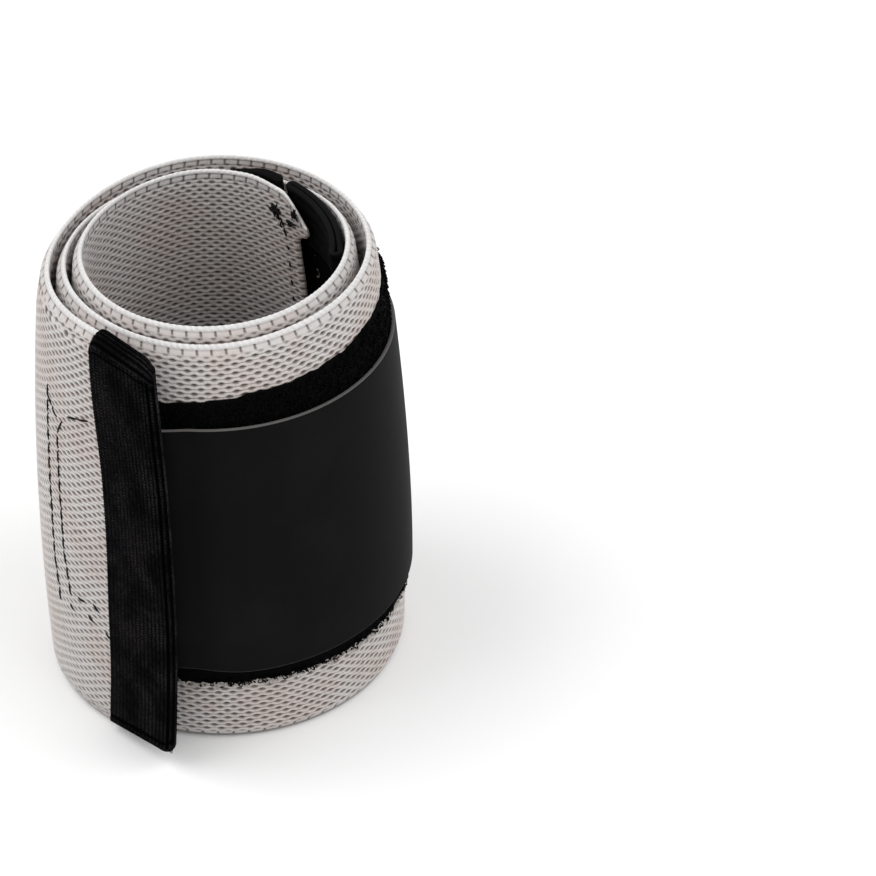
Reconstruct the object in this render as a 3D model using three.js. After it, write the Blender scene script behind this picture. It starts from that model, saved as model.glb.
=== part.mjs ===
// A wrist wrap rolled up and standing on its edge: a knitted elastic band wound into a spiral, with
// a taped outer end, a closure tab, the loop panel under it, and a taped inner end with a thumb loop.
// Millimetres, +Z up, the front of the roll towards -Y.
// A place on the roll is a turn, an offset and a height. The turn is in degrees along the spiral,
// from the front of the roll round by its left side, and rises inwards past 360. The offset is
// square to the band's middle layer, outwards.

import * as THREE from "three";

// The elastic band
const BAND_WIDTH = 78;
const BAND_THICKNESS = 1.9;
const SELVEDGE_ROUNDING = 0.6;
const OUTER_END_TURN = 15.5;
const BAND_TURNS = 2.58;

// The form of the roll
const ROLL_RADIUS = 29.9;
const TURN_GAP = 1.2;
const BELLY = 2.9;
const FOOT_SPREAD = 2.5;
const LEAN_RIGHT = 1.5;
const LEAN_BACK = 2.5;
const END_BOW = 1.3;
const CORNER_DIP = 8;
const CORNER_DIP_TURNS = 18;
const TUCK_TURNS = 60;

// What keeps the pieces apart
const CLEARANCE = 0.3;

// How strongly outlines are cambered while their caps are cut
const OUTLINE_CAMBER = 1 / 60;

// The tape folded over the outer end
const TAPE_THICKNESS = 0.6;
const TAPE_WIDTH = 14;
const TAPE_INNER_LEAF = 6;
const TAPE_PROUD = 2.6;
const TAPE_CORNER = 2.5;

// The closure tab
const TAB_THICKNESS = 1;
const TAB_LENGTH = 80;
const TAB_HEIGHT = 48.8;
const TAB_FOOT = 16.5;
const TAB_TUCK = 2.5;
const TAB_CHAMFER_LENGTH = 8;
const TAB_CHAMFER_HEIGHT = 11;

// The loop panel
const PANEL_THICKNESS = 1;
const PANEL_LENGTH = 95;
const PANEL_HEIGHT = 56;
const PANEL_FOOT = 15.2;
const PANEL_SLOPE = 4.5;
const PANEL_TUCK = 3.5;

// The tape behind the inner end
const INNER_TAPE_THICKNESS = 1;
const INNER_TAPE_WIDTH = 19;
const INNER_TAPE_OVERLAP = 3.2;

// The thumb loop
const LOOP_PLY = 0.7;
const LOOP_SLOT = 0.3;
const LOOP_LENGTH = 27;
const LOOP_ROOT_LENGTH = 9;
const LOOP_WIDTH = 10.5;
const LOOP_ROOT_WIDTH = 8;
const LOOP_TOP = 4.2;
const LOOP_NECK = 1.2;
const LOOP_DROOP = 2.7;

// How loosely each turn lies, as shares of the gap between turns
const SLACK = [
  { turn: 0, share: -0.4 },
  { turn: 90, share: -0.2 },
  { turn: 180, share: 0.05 },
  { turn: 270, share: 0.15 },
  { turn: 360, share: 0 },
  { turn: 540, share: 0 },
  { turn: 630, share: -0.1 },
  { turn: 720, share: 0.3 },
  { turn: 810, share: 0.4 },
  { turn: 900, share: 0 },
];

// How far each turn has slid up the roll at its rim and at its foot, as shares of the band's width
const SLIDE = [
  { turn: 0, rim: 0.015, foot: 0 },
  { turn: 90, rim: 0.004, foot: 0 },
  { turn: 180, rim: 0.037, foot: 0 },
  { turn: 270, rim: 0.02, foot: 0 },
  { turn: 360, rim: -0.002, foot: 0 },
  { turn: 450, rim: 0.022, foot: 0.004 },
  { turn: 540, rim: 0.024, foot: 0.012 },
  { turn: 630, rim: 0.039, foot: 0.02 },
  { turn: 720, rim: 0.032, foot: 0.028 },
  { turn: 810, rim: 0.048, foot: 0.035 },
  { turn: 900, rim: 0.066, foot: 0.04 },
];

const INNER_END_TURN = OUTER_END_TURN + 360 * BAND_TURNS;
const LOOP_THICKNESS = 2 * LOOP_PLY + LOOP_SLOT;

const { degToRad, radToDeg, lerp, smoothstep, clamp } = THREE.MathUtils;

// The taped outer end stands off the roll, straight from where it leaves, far enough for the tab,
// the panel and the tape's inner leaf to pass under it
const END_STACK = PANEL_THICKNESS + TAB_THICKNESS + TAPE_THICKNESS + 4 * CLEARANCE;
const END_LIFT = Math.max(0, END_STACK - TURN_GAP / 3);
const TAB_ROOT_TURN = OUTER_END_TURN + radToDeg(TAB_TUCK / ROLL_RADIUS);
const LIFT_OFF_TURN = TAB_ROOT_TURN + radToDeg(Math.acos(ROLL_RADIUS / (ROLL_RADIUS + END_LIFT)));

/** Value of one column of a table at a turn, eased from row to row. */
function readTable(rows, column, turn) {
  const next = rows.findIndex((row) => row.turn > turn);
  if (next < 0) return rows[rows.length - 1][column];
  if (next === 0) return rows[0][column];
  const from = rows[next - 1];
  const to = rows[next];
  return lerp(from[column], to[column], smoothstep(turn, from.turn, to.turn));
}

/** Height of the band's upper edge at a turn. Its inner corner is drawn down. */
function rimHeight(turn) {
  const dip = CORNER_DIP * smoothstep(turn, INNER_END_TURN - CORNER_DIP_TURNS, INNER_END_TURN);
  return BAND_WIDTH * (1 + readTable(SLIDE, "rim", turn)) - dip;
}

/** Height of the band's lower edge at a turn. */
function footHeight(turn) {
  return BAND_WIDTH * readTable(SLIDE, "foot", turn);
}

/** How far the wall stands out at a height: a belly, and a foot wider than the rim. */
function bulge(height) {
  const down = 1 - height / BAND_WIDTH;
  return 4 * down * (1 - down) * (BELLY - FOOT_SPREAD / 2) + down * FOOT_SPREAD;
}

/** Radius of the band's middle layer at a turn and a height. */
function middleRadius(turn, height) {
  const wound = (turn / 360) * (BAND_THICKNESS + TURN_GAP);
  const slack = readTable(SLACK, "share", turn) * TURN_GAP;
  const tuckRoom = Math.max(0, LOOP_THICKNESS + 2 * CLEARANCE - TURN_GAP) + CLEARANCE;
  const tuck = tuckRoom * smoothstep(turn, INNER_END_TURN - TUCK_TURNS, INNER_END_TURN - 8);
  const round = ROLL_RADIUS - BAND_THICKNESS / 2 - wound + slack - tuck + bulge(height);
  return round / Math.cos(degToRad(Math.max(0, LIFT_OFF_TURN - turn)));
}

/** Turn of a place near the outer end, whose edge bows forward at mid-height. */
function bowedTurn(turn, height) {
  const down = clamp(1 - height / BAND_WIDTH, 0, 1);
  const near = Math.max(0, 1 - (turn - OUTER_END_TURN) / 60);
  const angle = radToDeg(END_BOW / ROLL_RADIUS);
  return turn - angle * 4 * down * (1 - down) * near * near;
}

/** Point of the band's middle layer in the plan, before the lean. */
function middlePoint(turn, height) {
  const radius = middleRadius(turn, height);
  const angle = degToRad(turn);
  return new THREE.Vector2(-radius * Math.sin(angle), -radius * Math.cos(angle));
}

/** Point of the roll at a turn, an offset from the band's middle layer and a height. */
function rollPoint(turn, offset, height) {
  const place = bowedTurn(turn, height);
  const step = 0.25;
  const middle = middlePoint(place, height);
  const along = middlePoint(place + step, height).sub(middlePoint(place - step, height)).normalize();
  const lean = height / BAND_WIDTH;
  const x = middle.x - along.y * offset + LEAN_RIGHT * lean;
  const y = middle.y + along.x * offset + LEAN_BACK * lean;
  return new THREE.Vector3(x, y, height);
}

/** Turn that lies a distance further along the band from a turn, measured at mid-height. */
function turnAlong(turn, distance) {
  const steps = Math.max(1, Math.ceil(Math.abs(distance)));
  let place = turn;
  for (let i = 0; i < steps; i += 1) {
    const here = middlePoint(place, BAND_WIDTH / 2);
    const degree = here.distanceTo(middlePoint(place + 1, BAND_WIDTH / 2));
    place += distance / steps / degree;
  }
  return place;
}

/** Camber that an outline is drawn with, so that its cap is cut into no slivers along a straight side. */
function camber(distance) {
  return distance * distance * OUTLINE_CAMBER;
}

/** Adds a point to an outline: along its length, square to it, with the camber. */
function cambered(along, across) {
  return new THREE.Vector2(along, across + camber(along));
}

/** Rounded section of a strap: up its face from 0 to height in x, across its thickness in y. */
function strapSection(thickness, height, rounding, rows) {
  const half = thickness / 2;
  const corner = Math.min(rounding, half * 0.9);
  const eased = corner * 0.3;
  const side = (from, to, across) => {
    const points = [];
    for (let i = 0; i <= rows; i += 1) points.push(cambered(lerp(from, to, i / rows), across));
    return points;
  };
  return new THREE.Shape([
    cambered(0, half - corner),
    cambered(0, corner - half),
    cambered(eased, eased - half),
    ...side(corner, height - corner, -half),
    cambered(height - eased, eased - half),
    cambered(height, corner - half),
    cambered(height, half - corner),
    cambered(height - eased, half - eased),
    ...side(height - corner, corner, half),
    cambered(eased, half - eased),
  ]);
}

/** Moves each vertex of a geometry to where a function puts it. */
function reshape(geometry, place) {
  const position = geometry.attributes.position;
  const point = new THREE.Vector3();
  for (let i = 0; i < position.count; i += 1) {
    point.fromBufferAttribute(position, i);
    const moved = place(point);
    position.setXYZ(i, moved.x, moved.y, moved.z);
  }
  geometry.computeVertexNormals();
  return geometry;
}

/** A strap wound on the roll from one turn to another, between two edge heights. */
function windStrap({ section, height, from, to, steps, offset, edges }) {
  const options = { depth: 1, steps, bevelEnabled: false };
  return reshape(new THREE.ExtrudeGeometry(section, options), (point) => {
    const turn = lerp(from, to, point.z);
    const { low, high } = edges(turn, point.z);
    const across = camber(point.x) - point.y;
    return rollPoint(turn, offset + across, lerp(low, high, point.x / height));
  });
}

/** A plan outline, along the band in x and across it in y, raised between two edge heights. */
function raisePlan({ plan, rows, turnOf, offset, edges }) {
  const options = { depth: 1, steps: rows, bevelEnabled: false };
  return reshape(new THREE.ExtrudeGeometry(plan, options), (point) => {
    const turn = turnOf(point.x);
    const { low, high } = edges(point.x, turn);
    const across = point.y - camber(point.x);
    return rollPoint(turn, offset + across, lerp(low, high, point.z));
  });
}

/** Number of steps that keep a strap's bend smooth. */
function stepsFor(from, to, degrees) {
  return Math.max(2, Math.ceil((to - from) / degrees));
}

function elasticBand() {
  return windStrap({
    section: strapSection(BAND_THICKNESS, BAND_WIDTH, SELVEDGE_ROUNDING, 4),
    height: BAND_WIDTH,
    from: OUTER_END_TURN,
    to: INNER_END_TURN,
    steps: stepsFor(OUTER_END_TURN, INNER_END_TURN, 7.5),
    offset: 0,
    edges: (turn) => ({ low: footHeight(turn), high: rimHeight(turn) }),
  });
}

function loopPanel() {
  const to = turnAlong(360 + OUTER_END_TURN, PANEL_TUCK);
  const from = turnAlong(to, -PANEL_LENGTH);
  return windStrap({
    section: strapSection(PANEL_THICKNESS, PANEL_HEIGHT, PANEL_THICKNESS / 3, 4),
    height: PANEL_HEIGHT,
    from,
    to,
    steps: stepsFor(from, to, 6),
    offset: BAND_THICKNESS / 2 + CLEARANCE + PANEL_THICKNESS / 2,
    edges: (turn, share) => ({
      low: PANEL_FOOT,
      high: PANEL_FOOT + PANEL_HEIGHT + PANEL_SLOPE * (0.5 - share),
    }),
  });
}

function closureTab() {
  const to = turnAlong(360 + OUTER_END_TURN, TAB_TUCK);
  const from = turnAlong(to, -TAB_LENGTH);
  const panelSpace = 2 * CLEARANCE + PANEL_THICKNESS;
  return windStrap({
    section: strapSection(TAB_THICKNESS, TAB_HEIGHT, TAB_THICKNESS / 4, 4),
    height: TAB_HEIGHT,
    from,
    to,
    steps: Math.round((TAB_LENGTH / TAB_CHAMFER_LENGTH) * 3),
    offset: BAND_THICKNESS / 2 + panelSpace + TAB_THICKNESS / 2,
    edges: (turn, share) => {
      const toCorner = Math.max(0, 1 - (share * TAB_LENGTH) / TAB_CHAMFER_LENGTH);
      const cut = TAB_CHAMFER_HEIGHT * toCorner;
      return { low: TAB_FOOT + cut, high: TAB_FOOT + TAB_HEIGHT - cut };
    },
  });
}

/** Points of a plan outline along a straight run, from one place to another at one offset. */
function run(from, to, across, spans) {
  const points = [];
  for (let i = 0; i <= spans; i += 1) points.push(cambered(lerp(from, to, i / spans), across));
  return points;
}

/** Points of a half-round end of a plan outline about a place, from one side to the other. */
function halfRound(about, reach, wide, spans) {
  const points = [];
  for (let i = 1; i < spans; i += 1) {
    const angle = (Math.PI * i) / spans;
    points.push(cambered(about + reach * Math.sin(angle), wide * Math.cos(angle)));
  }
  return points;
}

/** Plan of the tape folded over the outer end, x from the band's end along the band. */
function foldedTapePlan() {
  const inner = BAND_THICKNESS / 2 + CLEARANCE;
  const outer = inner + TAPE_THICKNESS;
  const bend = CLEARANCE + TAPE_THICKNESS;
  const leaf = TAPE_WIDTH - bend;
  return new THREE.Shape([
    ...run(TAPE_INNER_LEAF, -CLEARANCE, -inner, 3),
    ...run(-CLEARANCE, leaf, inner, 5),
    ...run(leaf, 0, outer, 5),
    ...halfRound(0, -bend, outer, 6),
    ...run(0, TAPE_INNER_LEAF, -outer, 3),
  ]);
}

function outerEndBinding() {
  const bend = CLEARANCE + TAPE_THICKNESS;
  return raisePlan({
    plan: foldedTapePlan(),
    rows: 8,
    turnOf: (x) => turnAlong(OUTER_END_TURN, x),
    offset: 0,
    edges: (x, turn) => {
      const toEnd = clamp(1 - (x + bend) / TAPE_CORNER, 0, 1);
      const cut = TAPE_CORNER * (1 - Math.sqrt(1 - toEnd * toEnd)) * 0.6;
      return { low: CLEARANCE + cut, high: rimHeight(turn) + TAPE_PROUD - cut };
    },
  });
}

/** Turn on the next turn out that lies behind the band's inner end. */
function behindInnerEnd() {
  return INNER_END_TURN - 360;
}

/** How far the thumb loop has sunk at a distance from its fold. */
function loopDroop(distance) {
  return (LOOP_DROOP * Math.max(0, distance)) / LOOP_LENGTH;
}

function innerEndBinding() {
  const from = turnAlong(behindInnerEnd(), -INNER_TAPE_OVERLAP);
  const to = turnAlong(from, INNER_TAPE_WIDTH);
  const top = BAND_WIDTH + LOOP_TOP - LOOP_WIDTH - CLEARANCE;
  return windStrap({
    section: strapSection(INNER_TAPE_THICKNESS, BAND_WIDTH, INNER_TAPE_THICKNESS / 4, 4),
    height: BAND_WIDTH,
    from,
    to,
    steps: stepsFor(from, to, 6),
    offset: -(BAND_THICKNESS + INNER_TAPE_THICKNESS) / 2 - CLEARANCE,
    edges: (turn, share) => ({
      low: footHeight(turn) + CLEARANCE,
      high: top - loopDroop(share * INNER_TAPE_WIDTH),
    }),
  });
}

/** Plan of the thumb loop, x along the band from the loop's fold: its root, then its two plies. */
function thumbLoopPlan() {
  const wide = LOOP_THICKNESS / 2;
  const rootSide = wide - LOOP_PLY;
  const far = LOOP_LENGTH - wide;
  const near = LOOP_NECK + LOOP_PLY;
  const plan = new THREE.Shape([
    ...run(-LOOP_ROOT_LENGTH, -LOOP_NECK, rootSide, 3),
    ...run(0, far, -wide, 9),
    ...halfRound(far, wide, -wide, 4),
    ...run(far, 0, wide, 9),
    ...run(-LOOP_NECK, -LOOP_ROOT_LENGTH, wide, 3),
  ]);
  const slot = [...run(near, far - LOOP_PLY, -LOOP_SLOT / 2, 8), ...run(far - LOOP_PLY, near, LOOP_SLOT / 2, 8)];
  plan.holes.push(new THREE.Path(slot));
  return plan;
}

function thumbLoop() {
  const start = turnAlong(behindInnerEnd(), -INNER_TAPE_OVERLAP);
  const top = BAND_WIDTH + LOOP_TOP;
  return raisePlan({
    plan: thumbLoopPlan(),
    rows: 2,
    turnOf: (x) => turnAlong(start, x),
    offset: -(BAND_THICKNESS + LOOP_THICKNESS) / 2 - CLEARANCE,
    edges: (x) => {
      const width = lerp(LOOP_WIDTH, LOOP_ROOT_WIDTH, smoothstep(-x, -LOOP_NECK, LOOP_NECK));
      return { low: top - width - loopDroop(x), high: top - loopDroop(x) };
    },
  });
}

/** A named mesh with a cloth-like finish. */
function mesh(name, geometry, color, roughness) {
  const material = new THREE.MeshStandardMaterial({ color, roughness, metalness: 0 });
  const piece = new THREE.Mesh(geometry, material);
  piece.name = name;
  return piece;
}

const wrap = new THREE.Group();
wrap.add(mesh("elastic_band", elasticBand(), 0xdedbd8, 0.9));
wrap.add(mesh("outer_end_binding", outerEndBinding(), 0x1a1a1b, 0.85));
wrap.add(mesh("closure_tab", closureTab(), 0x2b2b2c, 0.6));
wrap.add(mesh("loop_panel", loopPanel(), 0x101010, 0.95));
wrap.add(mesh("inner_end_binding", innerEndBinding(), 0x171718, 0.85));
wrap.add(mesh("thumb_loop", thumbLoop(), 0x1c1c1d, 0.85));

// The origin is the middle of the roll's footprint, on the surface that it stands on
const extent = new THREE.Box3().setFromObject(wrap);
const middle = extent.getCenter(new THREE.Vector3());
wrap.position.set(-middle.x, -middle.y, 0);

const scene = new THREE.Group();
scene.add(wrap);

export default scene;
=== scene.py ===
"""A wrist wrap rolled up and standing on its edge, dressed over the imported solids.

The knitted band, the tapes, the closure tab, the loop panel and the thumb loop are laid on one spiral,
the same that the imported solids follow. Sizes are in millimetres until a point is placed, in metres.
"""

import logging
import math
from dataclasses import dataclass, field
from enum import Enum
from typing import Callable, Sequence

import bmesh
import bpy
import numpy as np
from mathutils import Matrix, Vector

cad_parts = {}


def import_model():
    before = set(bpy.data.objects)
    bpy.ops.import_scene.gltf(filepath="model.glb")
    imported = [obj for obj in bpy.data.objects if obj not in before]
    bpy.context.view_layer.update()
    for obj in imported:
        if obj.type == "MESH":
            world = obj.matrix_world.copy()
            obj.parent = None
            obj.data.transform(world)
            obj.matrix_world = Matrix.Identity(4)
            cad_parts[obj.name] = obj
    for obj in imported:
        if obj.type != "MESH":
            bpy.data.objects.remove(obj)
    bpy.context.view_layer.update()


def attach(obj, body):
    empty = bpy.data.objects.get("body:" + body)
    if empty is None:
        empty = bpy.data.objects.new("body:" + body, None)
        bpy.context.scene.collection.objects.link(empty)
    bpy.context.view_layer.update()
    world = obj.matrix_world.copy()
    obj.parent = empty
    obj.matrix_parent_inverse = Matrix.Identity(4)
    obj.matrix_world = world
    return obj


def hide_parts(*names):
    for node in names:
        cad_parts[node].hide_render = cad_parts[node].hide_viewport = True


LOG = logging.getLogger("wrist_wrap")
MM = 0.001
TAU = 2 * math.pi
SAME_PLACE = 1e-7
STRAND = 0.3

Carried = tuple[np.ndarray, dict[str, np.ndarray]]
Carry = Callable[[np.ndarray, np.ndarray], Carried]


class Side(Enum):
    """Which face of a strap looks out of the roll."""

    OUTER = 1
    INNER = -1


@dataclass(frozen=True)
class EasedTable:
    """Values at places along the spiral, eased from one to the next."""

    turns: tuple[float, ...]
    values: tuple[float, ...]

    def read(self, turn: np.ndarray) -> np.ndarray:
        """Reads the table.

        Args:
            turn: places along the spiral, in degrees.

        Returns:
            The value at each place.
        """
        turns, values = np.asarray(self.turns), np.asarray(self.values)
        row = np.clip(np.searchsorted(turns, turn, side="right") - 1, 0, len(turns) - 2)
        share = ease((turn - turns[row]) / (turns[row + 1] - turns[row]))
        return values[row] + (values[row + 1] - values[row]) * share


def ease(share: np.ndarray | float) -> np.ndarray:
    """Smooth step of a share from 0 to 1."""
    held = np.clip(share, 0.0, 1.0)
    return held * held * (3 - 2 * held)


def between(value: np.ndarray, low: float, high: float) -> np.ndarray:
    """Smooth step of a value from low to high."""
    return ease((value - low) / (high - low))


@dataclass(frozen=True)
class Roll:
    """The spiral that the band is wound into, as its solid has it but for the rim, foot and inner corner.

    A place is a turn in degrees from the front round by the left, rising inwards, an offset outwards
    from the band's middle layer and a height.
    """

    width: float = 78.0
    thickness: float = 1.9
    outer_end: float = 15.5
    band_turns: float = 2.58
    radius: float = 29.9
    gap: float = 1.2
    belly: float = 2.9
    foot_spread: float = 2.8
    lean_right: float = 1.5
    lean_back: float = 2.5
    end_bow: float = 1.3
    corner_dip: float = 5.7
    corner_eases: float = 1.4
    corner_turns: float = 14.0
    corner_from: float = 6.0
    easing_turns: float = 26.0
    tuck_turns: float = 60.0
    clearance: float = 0.3
    end_stack: float = 3.8
    tab_tuck: float = 2.5
    loop_thickness: float = 1.7
    shift_x: float = -1.1953
    shift_y: float = 2.3477
    rim_lift: float = 0.8
    lift_ends: float = 400.0
    lift_fades: float = 70.0
    bow_turns: float = 60.0
    fine_turn: float = 0.25
    rim_tuck_depth: float = 7.0
    rim_tucks: EasedTable = EasedTable(
        (20, 60, 100, 170, 290, 340, 380, 440),
        (0, 0.5, 0.5, 0, 0, 0.5, 0.5, 0),
    )
    slack: EasedTable = EasedTable(
        (0, 90, 180, 270, 360, 540, 630, 720, 810, 900),
        (-0.4, 0.1, 0.05, 0.15, 0, 0, -0.1, 0.3, 0.4, 0),
    )
    rim_slide: EasedTable = EasedTable(
        (0, 90, 180, 270, 360, 450, 540, 630, 720, 810, 900),
        (0.015, 0.004, 0.037, 0.02, -0.002, 0.022, 0.024, 0.039, 0.032, 0.048, 0.066),
    )
    foot_slide: EasedTable = EasedTable(
        (0, 90, 180, 270, 360, 450, 540, 630, 720, 810, 900),
        (0, 0, 0, 0, 0, 0.004, 0.012, 0.02, 0.028, 0.035, 0.04),
    )

    @property
    def inner_end(self) -> float:
        """Turn of the band's inner end."""
        return self.outer_end + 360 * self.band_turns

    @property
    def lift_off(self) -> float:
        """Turn where the taped outer end leaves the roll."""
        lift = max(0.0, self.end_stack - self.gap / 3)
        root = self.outer_end + math.degrees(self.tab_tuck / self.radius)
        return root + math.degrees(math.acos(self.radius / (self.radius + lift)))

    def plain_rim(self, turn: np.ndarray) -> np.ndarray:
        """Height of the band's upper edge at a turn, were its inner corner square."""
        lift = self.rim_lift * (1 - between(turn, self.lift_ends, self.lift_ends + self.lift_fades))
        return self.width * (1 + self.rim_slide.read(turn)) + lift

    def rim(self, turn: np.ndarray) -> np.ndarray:
        """Height of the band's upper edge at a turn."""
        end = self.inner_end
        eases = self.corner_eases * between(turn, end - self.easing_turns, end)
        dip = self.corner_dip * between(turn, end - self.corner_from, end + self.corner_turns)
        return self.plain_rim(turn) - eases - dip

    def foot(self, turn: np.ndarray) -> np.ndarray:
        """Height of the band's lower edge at a turn."""
        return self.width * self.foot_slide.read(turn)

    def rim_tuck(self, turn: np.ndarray, height: np.ndarray) -> np.ndarray:
        """How far the outer winding's rim leans in over the roll."""
        rim = self.width * (1 + self.rim_slide.read(turn))
        return self.rim_tucks.read(turn) * between(height, rim - self.rim_tuck_depth, rim + 1)

    def middle_radius(self, turn: np.ndarray, height: np.ndarray) -> np.ndarray:
        """Radius of the band's middle layer.

        Args:
            turn: places along the spiral, in degrees.
            height: heights, in millimetres.

        Returns:
            The radius at each place.
        """
        down = 1 - height / self.width
        bulge = 4 * down * (1 - down) * (self.belly - self.foot_spread / 2) + down * self.foot_spread
        wound = turn / 360 * (self.thickness + self.gap)
        room = max(0.0, self.loop_thickness + 2 * self.clearance - self.gap) + self.clearance
        tuck = room * between(turn, self.inner_end - self.tuck_turns, self.inner_end - 8)
        slack = self.slack.read(turn) * self.gap
        tuck = tuck + self.rim_tuck(turn, height)
        radius = self.radius - self.thickness / 2 - wound + slack - tuck + bulge
        return radius / np.cos(np.radians(np.maximum(0, self.lift_off - turn)))

    def middle(self, turn: np.ndarray, height: np.ndarray) -> tuple[np.ndarray, np.ndarray]:
        """The band's middle layer in plan.

        Args:
            turn: places along the spiral, in degrees.
            height: heights, in millimetres.

        Returns:
            Its x and y before the lean.
        """
        radius, angle = self.middle_radius(turn, height), np.radians(turn)
        return -radius * np.sin(angle), -radius * np.cos(angle)

    def place(self, turn: np.ndarray, offset: np.ndarray, height: np.ndarray) -> np.ndarray:
        """Puts places of the roll in space.

        Args:
            turn: places along the spiral, in degrees.
            offset: distance outwards from the band's middle layer, in millimetres.
            height: heights, in millimetres.

        Returns:
            One row of x, y, z for each place, in metres.
        """
        turn, offset, height = np.broadcast_arrays(*(np.asarray(v, float) for v in (turn, offset, height)))
        down = np.clip(1 - height / self.width, 0, 1)
        near = np.maximum(0, 1 - (turn - self.outer_end) / self.bow_turns)
        bow = math.degrees(self.end_bow / self.radius)
        turned = turn - bow * 4 * down * (1 - down) * near * near
        x, y = self.middle(turned, height)
        x_on, y_on = self.middle(turned + self.fine_turn, height)
        x_back, y_back = self.middle(turned - self.fine_turn, height)
        along_x, along_y = x_on - x_back, y_on - y_back
        length = np.hypot(along_x, along_y)
        lean = height / self.width
        x = x - along_y / length * offset + self.lean_right * lean + self.shift_x
        y = y + along_x / length * offset + self.lean_back * lean + self.shift_y
        return np.stack([x, y, height], axis=-1) * MM

    def _measure(self) -> tuple[np.ndarray, np.ndarray]:
        """Turns a fine step apart, a little past both ends, and how far along the band each is."""
        turns = np.arange(self.outer_end - 12, self.inner_end + 24, self.fine_turn)
        x, y = self.middle(turns, np.full_like(turns, self.width / 2))
        steps = np.hypot(np.diff(x), np.diff(y))
        distance = np.concatenate([[0.0], np.cumsum(steps)])
        return turns, distance - np.interp(self.outer_end, turns, distance)

    def turn_at(self, along: np.ndarray | float) -> np.ndarray:
        """Turn at a distance along the band from its outer end, in millimetres."""
        turns, distance = self._measure()
        return np.interp(along, distance, turns)

    def along_at(self, turn: np.ndarray | float) -> np.ndarray:
        """Distance along the band from its outer end at a turn, in millimetres."""
        turns, distance = self._measure()
        return np.interp(turn, turns, distance)


def share_noise(seed: int, x: np.ndarray, y: np.ndarray, waves: int = 5) -> np.ndarray:
    """Gentle waves over a plane, the same each run.

    Args:
        seed: picks the waves.
        x: first coordinate.
        y: second coordinate.
        waves: how many waves are added.

    Returns:
        Values of about -1 to 1.
    """
    rng = np.random.default_rng(seed)
    total = np.zeros(np.broadcast(x, y).shape)
    for _ in range(waves):
        angle, phase, pitch = rng.uniform(0, TAU), rng.uniform(0, TAU), rng.uniform(0.6, 1.7)
        total = total + np.sin(pitch * (np.cos(angle) * x + np.sin(angle) * y) + phase)
    return total / waves * 1.4


def ripple(count: np.ndarray) -> np.ndarray:
    """From 0 to 1 and back over each whole number, 1 on the numbers."""
    return 0.5 + 0.5 * np.cos(TAU * count)


def bell(value: np.ndarray, middle: float, reach: float) -> np.ndarray:
    """1 at a middle, falling off smoothly to either side of it."""
    return np.exp(-(((value - middle) / reach) ** 2))


def rounded_corner(radius: float, distance: np.ndarray, most: float) -> np.ndarray:
    """How far a rounded corner falls at a distance from its side, with the steepest part left out."""
    return radius * (1 - np.sqrt(1 - np.clip(1 - distance / radius, 0, most) ** 2))


def as_object(name: str, mesh: bpy.types.Mesh) -> bpy.types.Object:
    """A new object of a mesh, linked to the scene."""
    piece = bpy.data.objects.new(name, mesh)
    bpy.context.scene.collection.objects.link(piece)
    return piece


def as_mesh(name: str, shape: bmesh.types.BMesh) -> bpy.types.Mesh:
    """A new mesh of a shape, which is freed."""
    mesh = bpy.data.meshes.new(name)
    shape.to_mesh(mesh)
    shape.free()
    return mesh


def corner_places(mesh: bpy.types.Mesh) -> np.ndarray:
    """The places of a mesh's corners, one row of x, y, z for each."""
    places = np.empty(len(mesh.vertices) * 3)
    mesh.vertices.foreach_get("co", places)
    return places.reshape(-1, 3)


def move_corners(mesh: bpy.types.Mesh, places: np.ndarray, values: dict[str, np.ndarray]) -> None:
    """Moves a mesh's corners.

    Args:
        mesh: the mesh.
        places: a place in metres for each corner.
        values: numbers for each corner that the material reads, by name.
    """
    mesh.vertices.foreach_set("co", np.ascontiguousarray(places, float).ravel())
    for key, value in values.items():
        held = mesh.attributes.new(key, "FLOAT", "POINT")
        held.data.foreach_set("value", np.ascontiguousarray(value, float))


def close_ends(shape: bmesh.types.BMesh) -> list[bmesh.types.BMFace]:
    """Fills the open ends of a solid with small faces.

    Args:
        shape: the solid.

    Returns:
        The new faces.
    """
    loose = {edge for edge in shape.edges if edge.is_boundary}
    made = []
    while loose:
        ring, reached = [], [next(iter(sorted(loose, key=lambda edge: edge.index)))]
        while reached:
            edge = reached.pop()
            if edge in loose:
                loose.discard(edge)
                ring.append(edge)
                reached.extend(near for vert in edge.verts for near in vert.link_edges if near in loose)
        filled = bmesh.ops.triangle_fill(shape, use_beauty=True, use_dissolve=False, edges=ring)["geom"]
        made.extend(part for part in filled if isinstance(part, bmesh.types.BMFace))
    return made


def laid_solid(name: str, columns: int, rows: int, carry: Carry) -> bpy.types.Object:
    """A closed solid from a grid, whose corners a function carries to their places.

    The first and last row meet, and the open ends are filled.

    Args:
        name: the object's name.
        columns: steps along the piece.
        rows: steps round its section.
        carry: takes each corner's column and row, and returns its place in metres and its attributes.

    Returns:
        The object.
    """
    shape = bmesh.new()
    bmesh.ops.create_grid(shape, x_segments=columns, y_segments=rows, size=0.5)
    mesh = as_mesh(name, shape)
    corners = corner_places(mesh)
    column = np.rint((corners[:, 0] + 0.5) * columns).astype(int)
    row = np.rint((corners[:, 1] + 0.5) * rows).astype(int)
    move_corners(mesh, *carry(column, row))
    shape = bmesh.new()
    shape.from_mesh(mesh)
    bmesh.ops.remove_doubles(shape, verts=shape.verts, dist=SAME_PLACE)
    shape.edges.index_update()
    for edge in shape.edges:
        edge.smooth = not edge.is_boundary
    filled = close_ends(shape)
    bmesh.ops.recalc_face_normals(shape, faces=shape.faces)
    for face in shape.faces:
        face.smooth = True
    for face in filled:
        face.smooth = False
    shape.to_mesh(mesh)
    shape.free()
    return as_object(name, mesh)


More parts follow.
